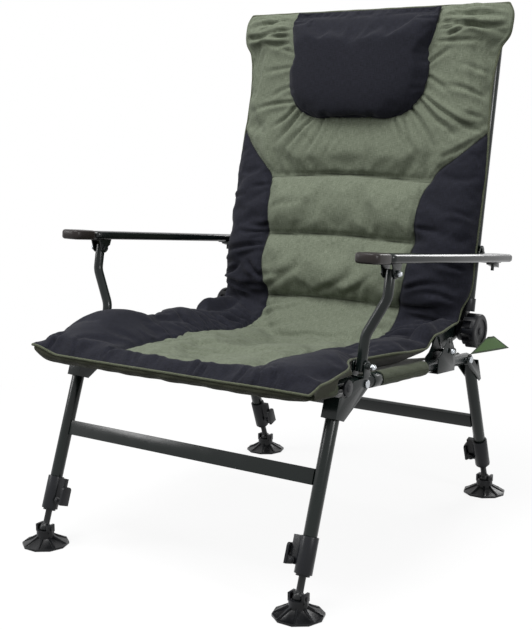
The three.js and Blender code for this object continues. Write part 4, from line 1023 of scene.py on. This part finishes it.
front_puckers = [
    (x, v, x + lean, v + reach, share)
    for x, v, lean, reach, share in (
        (-232, 4, 8, 40, 1), (-176, 6, -10, 36, 0.8), (-120, 5, 12, 34, 1), (-64, 3, -6, 26, 0.7),
        (58, 2, 10, 30, 1.4), (76, 4, -6, 26, 1), (140, 3, 10, 36, 0.9), (178, 4, -12, 44, 1.2),
        (205, 8, -30, 40, 1), (-255, 20, 40, 10, 1), (-20, 5, 4, 24, 0.6),
    )
]

# %% Press the folds into the cover
def shade_smooth(piece, sharp_above=None):
    """Smooth shading, which stops at edges that turn more than sharp_above degrees."""
    select(piece)
    if sharp_above is None:
        bpy.ops.object.shade_smooth()
    else:
        bpy.ops.object.shade_smooth_by_angle(angle=math.radians(sharp_above))


folds = np.zeros(len(flat_place))
for lines, depth, width in (
    (pillow_pulls, 4.2, 5.0), (top_gathers, 5.0, 4.5), (back_side_gathers, 5.0, 5.5),
    (corner_gathers, 5.2, 6.5), (green_pulls, 3.2, 8.0), (front_puckers, 3.0, 4.5),
):
    folds += fold_heights(flat_x, flat_v, lines, depth, width)
uneven_wave = np.sin(flat_x / 3.7 + 2 * np.sin(flat_x / 29))
on_green = to_black < -6
folds += 0.9 * uneven_wave * bell(to_seam - 8, 7) * on_green
inside = smoothstep(0, 22, cover_half_width - np.abs(flat_x))
folds *= upper * smoothstep(0, 4, to_seam) * inside
move_points(cushion, places(cushion) + normals(cushion) * folds[:, None])
shade_smooth(cushion)
print("folds from", round(float(folds.min()), 1), "to", round(float(folds.max()), 1), "mm")

# %% [markdown]
# ### Piping
# A cord covered in bias tape is sewn into the seam all round the cover, where its two faces meet.
# The seam line is found on the mesh itself, as the edges between upper and lower faces, and a
# round tube of 4 mm follows it. The tube is joined to the cover, since it is sewn to it.

# %% The seam line round the edge
def seam_loop(piece):
    """The points between the faces of the first and the second material, in their order."""
    sides = {}
    for polygon in piece.data.polygons:
        for key in polygon.edge_keys:
            sides.setdefault(key, set()).add(polygon.material_index)
    neighbours = {}
    for (a, b), kinds in sides.items():
        if len(kinds) == 2:
            neighbours.setdefault(a, []).append(b)
            neighbours.setdefault(b, []).append(a)
    first = min(neighbours)
    loop, before, here = [first], None, first
    while True:
        ahead = [n for n in neighbours[here] if n != before]
        before, here = here, ahead[0]
        if here == first:
            return loop
        loop.append(here)


def unit(vectors):
    return vectors / np.linalg.norm(vectors, axis=-1, keepdims=True)


edge_loop = seam_loop(cushion)
print("seam line of", len(edge_loop), "points")

# %% Piping round the edge
def face_outward(piece):
    select(piece)
    bpy.ops.object.mode_set(mode="EDIT")
    bpy.ops.mesh.select_all(action="SELECT")
    bpy.ops.mesh.normals_make_consistent(inside=False)
    bpy.ops.object.mode_set(mode="OBJECT")


piping_radius, piping_sides = 2.1, 10
edge_line = places(cushion)[edge_loop]
for _ in range(3):
    edge_line = (np.roll(edge_line, 1, 0) + 2 * edge_line + np.roll(edge_line, -1, 0)) / 4
tangent = unit(np.roll(edge_line, -1, 0) - np.roll(edge_line, 1, 0))
across_edge = unit(np.cross(tangent, normals(cushion)[edge_loop]))
over_edge = np.cross(across_edge, tangent)
angles = np.arange(piping_sides) * math.tau / piping_sides
tube = edge_line[:, None] + piping_radius * (
    np.cos(angles)[:, None] * across_edge[:, None] + np.sin(angles)[:, None] * over_edge[:, None]
)
ring = np.arange(tube[..., 0].size).reshape(tube.shape[:2])
next_ring = np.roll(ring, -1, 0)
tube_faces = np.stack([ring, np.roll(ring, -1, 1), np.roll(next_ring, -1, 1), next_ring], -1)
edge_length = np.cumsum(np.linalg.norm(np.roll(edge_line, 1, 0) - edge_line, axis=1))
tube_flat = np.stack(np.broadcast_arrays(edge_length[:, None], angles * piping_radius), -1)
piping = mesh_piece(
    "cover_piping", tube.reshape(-1, 3), tube_faces.reshape(-1, 4), tube_flat.reshape(-1, 2),
    piping_cloth,
)
face_outward(piping)
shade_smooth(piping)
select(cushion)
piping.select_set(True)
bpy.ops.object.join()
print("cover triangles:", triangles(cushion))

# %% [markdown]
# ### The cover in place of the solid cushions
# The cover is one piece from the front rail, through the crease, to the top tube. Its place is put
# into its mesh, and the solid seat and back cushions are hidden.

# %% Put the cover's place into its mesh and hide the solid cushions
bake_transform(cushion)
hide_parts("seat_cushion", "back_cushion")

# %% [markdown]
# ## Head pillow
# A black pillow with a rounded foot is sewn to the top of the cover. Its front panel is cut larger
# than its outline and gathered into the side seams, so the edge is full of small puckers. It is a
# padded piece of its own, laid out on the same kind of grid and blown up in the same way, with its
# rim held in the seam.

# %% Pillow outline
pillow_foot, pillow_height = 366, 205
pillow_half_width = curve_through(
    [(366, 52), (368, 70), (372, 92), (380, 111), (392, 125), (410, 135), (430, 141), (488, 147),
     (571, 151)]
)
side_turn = 1.35
across_turn = side_turn * np.linspace(-1, 1, 61)
up_turn = math.pi * np.linspace(0.06, 1, 46)
pillow_share, pillow_rise = np.meshgrid(
    np.sin(across_turn) / math.sin(side_turn),
    (math.cos(up_turn[0]) - np.cos(up_turn)) / (1 + math.cos(up_turn[0])),
)
pillow_up = pillow_foot + pillow_height * pillow_rise
pillow_x = pillow_share * pillow_half_width(pillow_up)
print("pillow", round(2 * pillow_x.max()), "by", pillow_height, "mm")

# %% Pillow pad
pillow_gap, pillow_hem, pillow_thickness = 2.5, 6, 30
fullness = crown(pillow_share, 3.2) * crown(2 * pillow_rise - 1, 4)
by_the_side = bell(1 - np.abs(pillow_share), 0.16)
gathers = 1.6 * np.sin(pillow_up / 3.1 + 2 * np.sin(pillow_up / 11)) * by_the_side
pillow_back = back_face(pillow_up) + pillow_gap
pillow_front = pillow_back + pillow_hem + (pillow_thickness + gathers) * fullness
low_face, high_face = (
    np.stack([pillow_x, *back_point(pillow_up, out)], -1) for out in (pillow_back, pillow_front)
)
pillow, _, rim_held = pad_piece(
    "head_pillow_pad", high_face, low_face, np.stack([pillow_x, pillow_up], -1), black_cover
)
puff_up(pillow, rim_held, pressure=4.0, frames=14, cap=12, growth=0.09)
subdivide_once(pillow)
shade_smooth(pillow)
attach(pillow, "back")
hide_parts("head_pillow")
print("pillow triangles:", triangles(pillow))

# %% [markdown]
# ## Sleeves, slings and the front pocket
# Sleeves of olive polyester are sewn round the front rail, the side rails and the top of the back,
# and sheets of canvas hang between the tubes under the padding. Along the front a strip of the
# same canvas, a pocket, closes over the rail. Each is one sheet: a closed strip of cloth with a
# real thickness of a millimetre or so, a little uneven where it is pulled round the steel. The
# canvas is the cover's green cloth, painted darker as the shade under the padding.

# %% A sheet with a thickness
def closed_sheet(name, outer, inner, flat, finish):
    """A sheet from the grids of its two faces, closed along its four edges."""
    outer_index = np.arange(outer[..., 0].size).reshape(outer.shape[:2])
    inner_index = outer_index + outer_index.size
    faces = [quads(outer_index, True), quads(inner_index, False)]
    for first, second in (
        (outer_index[0], inner_index[0]), (inner_index[-1], outer_index[-1]),
        (inner_index[:, 0], outer_index[:, 0]), (outer_index[:, -1], inner_index[:, -1]),
    ):
        faces.append(np.stack([first[:-1], second[:-1], second[1:], first[1:]], -1))
    points = np.concatenate([outer.reshape(-1, 3), inner.reshape(-1, 3)])
    flat = flat.reshape(-1, 2)
    piece = mesh_piece(name, points, np.concatenate(faces), np.concatenate([flat, flat]), finish)
    face_outward(piece)
    shade_smooth(piece, sharp_above=50)
    return piece


def thin_sheet(name, grid, flat, outward, finish):
    """A sheet from one grid of points, still without its thickness."""
    index = np.arange(grid[..., 0].size).reshape(grid.shape[:2])
    return mesh_piece(
        name, grid.reshape(-1, 3), quads(index, outward), flat.reshape(-1, 2), finish
    )


def running_length(points):
    """The way along a line of points, from the first to each of them."""
    return np.concatenate([[0], np.cumsum(np.linalg.norm(np.diff(points, axis=0), axis=1))])


# %% A sleeve round a bent tube
def swept_sheet(name, path, up, ring, thickness, finish):
    """A sheet whose cross-section, (side, up) offsets, is carried along a path."""
    up = np.array(up, float)
    sides = unit(np.cross(unit(np.gradient(path, axis=0)), up))
    along_ring = np.gradient(ring, axis=0)
    outward = unit(np.stack([along_ring[:, 1], -along_ring[:, 0]], -1))
    girth, length = running_length(ring), running_length(path)
    way = length[:, None]
    crease = 0.5 * np.sin(girth / 4 + way / 23) * np.sin(way / 9 + girth / 13)
    faces = []
    for shift in (thickness / 2, -thickness / 2):
        offset = ring + outward * (shift + crease[..., None])
        faces.append(path[:, None] + offset[..., :1] * sides[:, None] + offset[..., 1:] * up)
    piece = closed_sheet(name, *faces, np.stack(np.meshgrid(girth, length), -1), finish)
    print(name, "girth", round(girth[-1]), "length", round(length[-1]), "mm")
    return piece, girth[-1] / 1000, length[-1] / 1000


def rounded_path(corners, radius=50, step=7):
    """Points every step mm along straight runs joined by arcs of the given radius."""
    corners = [np.array(c, float) for c in corners]
    path = [corners[0]]
    for before, corner, after in zip(corners, corners[1:], corners[2:]):
        toward, away = unit(before - corner), unit(after - corner)
        half = math.acos(float(toward @ away)) / 2
        reach = radius / math.tan(half)
        middle = corner + unit(toward + away) * radius / math.sin(half)
        first_arm, last_arm = corner + toward * reach - middle, corner + away * reach - middle
        for t in np.linspace(0, 1, 13):
            path.append(middle + unit(first_arm * (1 - t) + last_arm * t) * radius)
    path = np.array([*path, corners[-1]])
    length = running_length(path)
    even = np.linspace(0, length[-1], max(2, round(length[-1] / step)) + 1)
    return np.stack([np.interp(even, length, path[:, i]) for i in range(3)], -1)


# %% Sections and paths of the sleeves
def on_rail(x, along):
    return (x, *rail_point(along, 0))


def on_back(x, up):
    return (x, *back_point(up, 0))


def round_the_end(place, start, end):
    """From one side tube round the bent end of a frame to the other."""
    corners = [(1, start), (1, end), (-1, end), (-1, start)]
    return rounded_path([place(side * rail_from_middle, at) for side, at in corners])


sleeve_radius, sleeve_wall, seam_gap = 11.6, 1.3, 0.02
ring_angles = np.linspace(seam_gap, math.tau - seam_gap, 33)
round_ring = sleeve_radius * np.stack([np.cos(ring_angles), np.sin(ring_angles)], -1)
ring_side, ring_up = round_ring.T
flap = 9.5 * (ring_side < 0) * np.sqrt(1 - np.abs(ring_up) / 13)
flap_ring = np.stack([-ring_side - flap, ring_up], -1)
rail_normal = (0, -math.sin(rail_tilt), math.cos(rail_tilt))
back_normal = (0, -math.cos(math.radians(back_lean)), math.sin(math.radians(back_lean)))
front_path = round_the_end(on_rail, -82, front_rail)
top_path = round_the_end(on_back, 277, top_rail)
side_paths = [
    rounded_path([on_rail(side * rail_from_middle, along) for along in (58, 215)])
    for side in (1, -1)
]
print("paths of", len(front_path), len(top_path), len(side_paths[0]), "points")

# %% Sleeves on the rails and the back tubes
for name, path, up, ring, body, carrier in (
    ("front_rail_sleeve", front_path, rail_normal, round_ring, "seat", "seat_frame"),
    ("back_tube_sleeve", top_path, back_normal, flap_ring, "back", "back_frame"),
    ("rail_sleeve_left", side_paths[0], rail_normal, round_ring, "seat", "seat_frame"),
    ("rail_sleeve_right", side_paths[1], rail_normal, round_ring, "seat", "seat_frame"),
):
    piece, girth, length = swept_sheet(name, path, up, ring, sleeve_wall, olive_sleeve)
    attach(piece, body)

# %% [markdown]
# ### The hung sheets
# The seat sheet sags three centimetres between its rails and the back sheet about one. Both are
# narrower where a bracket or hinge needs room. Each is laid out flat and then hung: every point is
# lowered by the same sag that the padding above it follows, and fine drag lines run from the rails
# towards the middle.

# %% Seat and back sheets
def hung_sheet(name, half_width, start, end, surface, place):
    """A hung sheet of canvas, and its area in square metres when it lies flat."""
    share, along = np.meshgrid(np.linspace(-1, 1, 61), np.linspace(start, end, 81))
    x = share * half_width(along)
    drag = 0.5 * np.abs(np.sin(along / 7.5 + 3 * np.abs(share))) * share**2
    upper, lower = (
        np.stack([x, *place(along, surface(x, along) - depth - drag)], -1)
        for depth in (0, canvas_wall)
    )
    piece = closed_sheet(name, upper, lower, np.stack([x, along], -1), green_cloth_painted_shaded)
    stations = along[:, 0]
    return piece, float(np.trapz(2 * half_width(stations), stations)) / 1e6


def seat_sheet_half_width(along):
    tail = smoothstep(214, 220, along)
    wide = 1 - smoothstep(-84, -78, along) + smoothstep(54, 60, along) - tail
    return 234 + 12 * wide - 7 * tail


def back_sheet_half_width(up):
    return 231 + 15 * smoothstep(273, 279, up)


canvas_wall, under_the_pad = 1.3, 0.2
seat_sheet, seat_area = hung_sheet(
    "seat_sling_sheet", seat_sheet_half_width, -144, 330,
    lambda x, along: seat_cloth(x, along) - under_the_pad, rail_point,
)
back_sheet, back_area = hung_sheet(
    "back_sling_sheet", back_sheet_half_width, 62, 558,
    lambda x, up: -back_cloth(x, up) - under_the_pad, back_point,
)
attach(seat_sheet, "seat")
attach(back_sheet, "back")
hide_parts("seat_sling")
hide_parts("back_sling")
print("sheet areas:", round(seat_area, 3), round(back_area, 3), "square metres")

# %% [markdown]
# ### Front pocket
# Below the piped front edge the cover's lining hangs over the rail and tucks back under it, like a
# shallow pocket. It is a strip of the same green canvas, painted darker as shade, with a slack,
# creased face. Its ends narrow towards the front corners, where it is caught in the corner seams.

# %% Edges that the strips are sewn to
def edge_points(keep):
    """Points of the cover's edge, and their places on the flat cloth, where keep says so."""
    flat = point_uvs(cushion)[edge_loop]
    kept = keep(*flat.T)
    return places(cushion)[edge_loop][kept], flat[kept]


def front_edge():
    """The cover's front edge, sorted by x, as x, along the rails and out from them."""
    edge, _ = edge_points(lambda x, v: (v < 0.5) & (np.abs(x) <= 267))
    x, y, z = edge[np.argsort(edge[:, 0])].T
    cosine, sine = math.cos(rail_tilt), math.sin(rail_tilt)
    y, z = y - rail_origin[0], z - rail_origin[1]
    return x, y * cosine + z * sine, z * cosine - y * sine


def side_edge(side, start, end):
    """The cover's side edge between two distances along the cloth, sorted from the front."""
    edge, flat = edge_points(lambda x, v: (x * side > 200) & (v > start) & (v < end))
    return edge[np.argsort(flat[:, 1])]


# %% Front pocket
def thicken(piece, thickness):
    """Gives a surface a wall in mm, half of it on each side."""
    wall = piece.modifiers.new("thickness", "SOLIDIFY")
    wall.thickness = mm(thickness)
    wall.offset = 0
    apply_modifiers(piece)


strip_wall = 1.0
edge_x, edge_along, edge_out = front_edge()
pocket_x = np.linspace(edge_x[0] + 1, edge_x[-1] - 1, 133)
grid_x, grid_down = np.meshgrid(pocket_x, np.linspace(0, 1, 15))
top_along = np.interp(grid_x, edge_x, edge_along) + 0.8
top_out = np.interp(grid_x, edge_x, edge_out) - 0.5
below_the_rail = -12.6
tucked_back = curve_through([(0, 0), (0.25, -1), (0.5, 7), (0.75, 18), (1, 34)])
dropped = curve_through([(0, 0), (0.25, 0.36), (0.5, 0.76), (0.75, 1), (1, 1)])
caught = np.sqrt(np.clip(1 - (grid_x / 266) ** 14, 0, 1))
slack = 0.8 * np.sin(grid_x / 19 + 1.7 * np.sin(grid_x / 47)) + 0.5 * np.sin(grid_x / 6.7)
slack *= np.sin(math.pi * grid_down) * caught
pocket_along = top_along + tucked_back(grid_down) * caught - slack
pocket_out = top_out + (below_the_rail - top_out) * dropped(grid_down) * caught - 0.6 * slack
pocket_grid = np.stack([grid_x, *rail_point(pocket_along, pocket_out)], -1)
cloth_run = 62
pocket_flat = np.stack([grid_x, grid_down * cloth_run], -1)
pocket = thin_sheet("front_pocket_strip", pocket_grid, pocket_flat, False, green_cloth_painted_shaded)
thicken(pocket, strip_wall)
shade_smooth(pocket)
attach(pocket, "seat")

# %% [markdown]
# ### Corner gussets
# Beside each front corner the cover's edge lifts off the rail, and a strip of the same canvas,
# painted darker as shade, closes the gap between the cover's piping and the sleeve on the rail. It
# starts behind the corner and rises over the spring button that locks the front legs.

# %% Corner gussets
low_x, low_out, low_over_button = 259.5, -9, 330.5
mid_x, mid_out, mid_over_button = 262, 3, 333.5
gusset_start, gusset_end, gusset_run = 4, 132, 34


def gusset_row(side, along_rail, x, out, over_button, button_clear):
    """A row of points along the rail, lifted to a height over the button."""
    y, z = rail_point(along_rail, out)
    z = z * (1 - over_button) + np.maximum(z, button_clear) * over_button
    return np.stack([np.full(len(y), side * x), y, z], -1)


for side, label in ((1, "left"), (-1, "right")):
    top_row = side_edge(side, gusset_start, gusset_end)
    rail_y = np.clip(top_row[:, 1], -306, -200)
    along_rail = (rail_y - rail_origin[0]) / math.cos(rail_tilt)
    over_button = smoothstep(-252, -244, rail_y)
    low_row = gusset_row(side, along_rail, low_x, low_out, over_button, low_over_button)
    mid_row = gusset_row(side, along_rail, mid_x, mid_out, over_button, mid_over_button)
    down = np.linspace(0, 1, 9)[:, None, None]
    top = top_row - np.array([side * 0.8, 0, 0.8])
    strip = (1 - down) ** 2 * top + 2 * down * (1 - down) * mid_row + down**2 * low_row
    lengths = running_length(top_row)
    strip_flat = np.stack(np.meshgrid(lengths, np.linspace(0, gusset_run, len(down))), -1)
    gusset = thin_sheet(f"corner_gusset_{label}", strip, strip_flat, side < 0, green_cloth_painted_shaded)
    thicken(gusset, strip_wall)
    shade_smooth(gusset)
    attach(gusset, "seat")
    print(gusset.name, "length", round(float(lengths[-1])), "mm")

# %% [markdown]
# ## Steel and plastic parts
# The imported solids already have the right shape, but their edges are mathematically sharp and
# their tubes are faceted. Real edges are rolled or trimmed and catch a thin line of light. For each
# one a copy of the mesh is joined up, its edges are rounded by a Bevel modifier, and it is shaded
# smooth below a chosen angle. The copy stands for the solid and rides on the same body.

# %% Finish a solid
finishes = {
    "powder_coat": steel_paint, "zinc": zinc, "inner_tube": inner_paint,
    "clip_plastic": clip_plastic, "foot_plastic": foot_plastic, "knob_plastic": knob_plastic,
    "arm_foam": arm_skin, "under_cloth": green_cloth_painted_shaded, "cushion_cloth": cover,
    "black_cloth": black_cover,
}
slot_of = {part["node"]: part["material_slot"] for part in frame["record"]["subparts"]}


def round_edges(piece, width, sharp_above, segments=2):
    """Rounds the edges whose faces turn more than sharp_above degrees, width mm wide."""
    bevel = piece.modifiers.new("rounded edges", "BEVEL")
    bevel.width = mm(width)
    bevel.segments = segments
    bevel.limit_method = "ANGLE"
    bevel.angle_limit = math.radians(sharp_above)
    apply_modifiers(piece)


def finish_solid(name, edge, finish):
    source = nodes[name]
    piece = new_object(name + ".finished", source.data.copy())
    select(piece)
    bpy.ops.object.mode_set(mode="EDIT")
    bpy.ops.mesh.select_all(action="SELECT")
    bpy.ops.mesh.remove_doubles(threshold=mm(0.02))
    bpy.ops.mesh.dissolve_limited(angle_limit=math.radians(0.6))
    bpy.ops.object.mode_set(mode="OBJECT")
    round_edges(piece, edge, sharp_above=40)
    shade_smooth(piece, sharp_above=40)
    piece.data.materials.clear()
    piece.data.materials.append(finish)
    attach(piece, source["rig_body"])
    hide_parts(name)


# %% Finish them all
for name, node in nodes.items():
    node.data.materials.clear()
    node.data.materials.append(finishes[slot_of[name]])
made_new = ("under_cloth", "cushion_cloth", "black_cloth", "knob_plastic")
solids = [name for name in nodes if slot_of[name] not in made_new]
edge_of = {"zinc": 0.35, "arm_foam": 2.2, "clip_plastic": 0.9, "foot_plastic": 0.7}
own_finish = {"arm_cap": cap_plastic, "recliner_arm": steel_paint}
for name in solids:
    kind = name.removesuffix("_left").removesuffix("_right")
    finish = own_finish.get(kind, finishes[slot_of[name]])
    finish_solid(name, edge_of.get(slot_of[name], 0.5), finish)
print(len(solids), "solids finished")

# %% [markdown]
# ## Hand knobs
# The recliner is locked by a moulded hand knob on each side, 60 mm across. Eight finger recesses
# run in from its inner face and stop short of the outer rim, so the face stays a full disc. A
# plain cylinder is modelled first and the recesses are cut from it, because that is how the mould's
# cores make them. It stands for the solid knob and turns with it.

# %% Tools for turned parts
def turned_part(radius, start, end, place=(0, 0), sides=72):
    """A cylinder along x from start to end mm, at (y, z) mm."""
    deselect()
    bpy.ops.mesh.primitive_cylinder_add(
        vertices=sides, radius=mm(radius), depth=mm(end - start), rotation=(0, math.pi / 2, 0),
        location=mm((start + end) / 2, *place),
    )
    return settle(bpy.context.object)


def combine(piece, tool, operation):
    change = piece.modifiers.new(operation.lower(), "BOOLEAN")
    change.object = tool
    change.operation = operation
    change.solver = "EXACT"
    apply_modifiers(piece)
    bpy.data.objects.remove(tool)


def finish_turned_part(piece, edge, sharp_above, finish):
    round_edges(piece, edge, sharp_above)
    shade_smooth(piece, sharp_above=35)
    piece.data.materials.clear()
    piece.data.materials.append(finish)


# %% Model the knob
knob_centre, knob_radius, rim_radius = (221.97, 330.35), 30.2, 2.6
inner_face, recess_end, outer_face = 253, 269.5, 278.6
fingers, recess_ring, recess_radius = 8, 33.6, 8.6
before_the_knob, past_the_knob = 246, 284
knob = turned_part(knob_radius, inner_face, outer_face, knob_centre)
round_edges(knob, rim_radius, sharp_above=60, segments=4)
for finger in range(fingers):
    angle = math.tau * (finger + 0.35) / fingers
    y, z = (c + recess_ring * f(angle) for c, f in zip(knob_centre, (math.cos, math.sin)))
    recess = turned_part(recess_radius, before_the_knob, recess_end, (y, z), 32)
    combine(knob, recess, "DIFFERENCE")
dish = turned_part(21, 277, past_the_knob, knob_centre)
hub = turned_part(12, 250.2, 255, knob_centre, 48)
boss = turned_part(6.5, 276, 278.4, knob_centre, 40)
combine(knob, dish, "DIFFERENCE")
combine(knob, hub, "UNION")
combine(knob, boss, "UNION")
finish_turned_part(knob, 0.8, 40, knob_plastic)
print("knob faces:", len(knob.data.polygons))

# %% A knob on each side
def mirrored_copy(piece, name):
    twin = new_object(name, piece.data.copy())
    twin.scale = (-1, 1, 1)
    face_outward(settle(twin))
    return twin


knob.name = "hand_knob_left"
for piece, label in ((knob, "left"), (mirrored_copy(knob, "hand_knob_right"), "right")):
    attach(piece, f"recliner_knob_{label}")
    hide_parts(f"recliner_knob_{label}")
print("knobs on both sides")

# %% [markdown]
# ## Acorn nuts
# Where the armrest's post is bolted, and on the recliner's clamp, the bolts end in bright domed
# nuts. Each is a small hexagon with a dome on it. One is modelled, and the others are copies.

# %% Model one nut and copy it
hexagon_height, hexagon_radius, dome_radius = 3.2, 4.9, 3.9
nut = turned_part(hexagon_radius, 0, hexagon_height, sides=6)
deselect()
bpy.ops.mesh.primitive_uv_sphere_add(
    segments=24, ring_count=12, radius=mm(dome_radius), location=mm(hexagon_height, 0, 0),
    rotation=(0, math.pi / 2, 0),
)
combine(nut, settle(bpy.context.object), "UNION")
finish_turned_part(nut, 0.35, 35, zinc)
nut_places = (
    ("armrest", "rest_{}", (299.0, -135.8, 475.9)), ("post", "seat", (272.6, -162.8, 336.9)),
    ("clamp", "seat", (265.4, 130.0, 309.0)),
)
for kind, body, (x, y, z) in nut_places:
    for side, label in ((1, "left"), (-1, "right")):
        copy = new_object(f"{kind}_nut_{label}", nut.data.copy())
        if side < 0:
            copy.rotation_euler = (0, 0, math.pi)
        copy.location = mm(side * x, y, z)
        settle(copy)
        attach(copy, body.format(label))
bpy.data.objects.remove(nut)
print("nuts:", 2 * len(nut_places))

# %% [markdown]
# ## Side tag
# A small green card hangs beside the knob on the sitter's left. It is one flat sheet, slightly
# curled, with a narrow border of a darker green and nothing else on it. Card is pressed paper, so
# its green is broken up by faint fibres about a millimetre apart, and its surface is almost flat.

# %% Card
def printed_card(name, colour, shade):
    material, tree = new_material(name)
    place = add_node(tree, "ShaderNodeTexCoord").outputs["Object"]
    fibres = add_node(
        tree, "ShaderNodeTexNoise", {"Vector": place, "Scale": 900.0, "Detail": 3.0}
    ).outputs["Fac"]
    tone = add_node(
        tree, "ShaderNodeMix", {"Factor": fibres, "A": srgb(colour), "B": srgb(shade)},
        data_type="RGBA",
    ).outputs["Result"]
    bump = add_node(
        tree, "ShaderNodeBump", {"Height": fibres, "Strength": 0.1, "Distance": 0.0002}
    )
    card = add_node(
        tree, "ShaderNodeBsdfPrincipled",
        {"Base Color": tone, "Roughness": 0.5, "IOR": 1.48, "Normal": bump.outputs[0]},
    )
    add_node(tree, "ShaderNodeOutputMaterial", {"Surface": card.outputs[0]})
    return material


green_card = printed_card("green card", "#4d6b3a", "#587a44")
dark_border = printed_card("dark green border", "#2b3a22", "#334529")

# %% Side tag
tag_corners = np.array(
    [(270.0, 198.0, 292.0), (303.0, 294.0, 291.0), (292.0, 245.6, 319.7), (288.0, 230.0, 320.4)]
)
tag_s, tag_t = np.meshgrid(np.linspace(0, 1, 19), np.linspace(0, 1, 9))
weights = ((1 - tag_s) * (1 - tag_t), tag_s * (1 - tag_t), tag_s * tag_t, (1 - tag_s) * tag_t)
tag_grid = sum(weight[..., None] * corner for weight, corner in zip(weights, tag_corners))
tag_grid[..., 0] += 1.5 * np.sin(math.pi * tag_s) + 1.0 * tag_t
tag_run, tag_rise = 90, 28
tag_flat = np.stack([tag_s * tag_run, tag_t * tag_rise], -1)
tag = thin_sheet("side_tag", tag_grid, tag_flat, True, green_card)
tag.data.materials.append(dark_border)
last_row, last_column = (count - 2 for count in tag_s.shape)
for face in tag.data.polygons:
    row, column = divmod(face.index, last_column + 1)
    on_border = row in (0, last_row) or column in (0, last_column)
    face.material_index = int(on_border)
thicken(tag, 0.6)
shade_smooth(tag, sharp_above=40)
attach(tag, "seat")
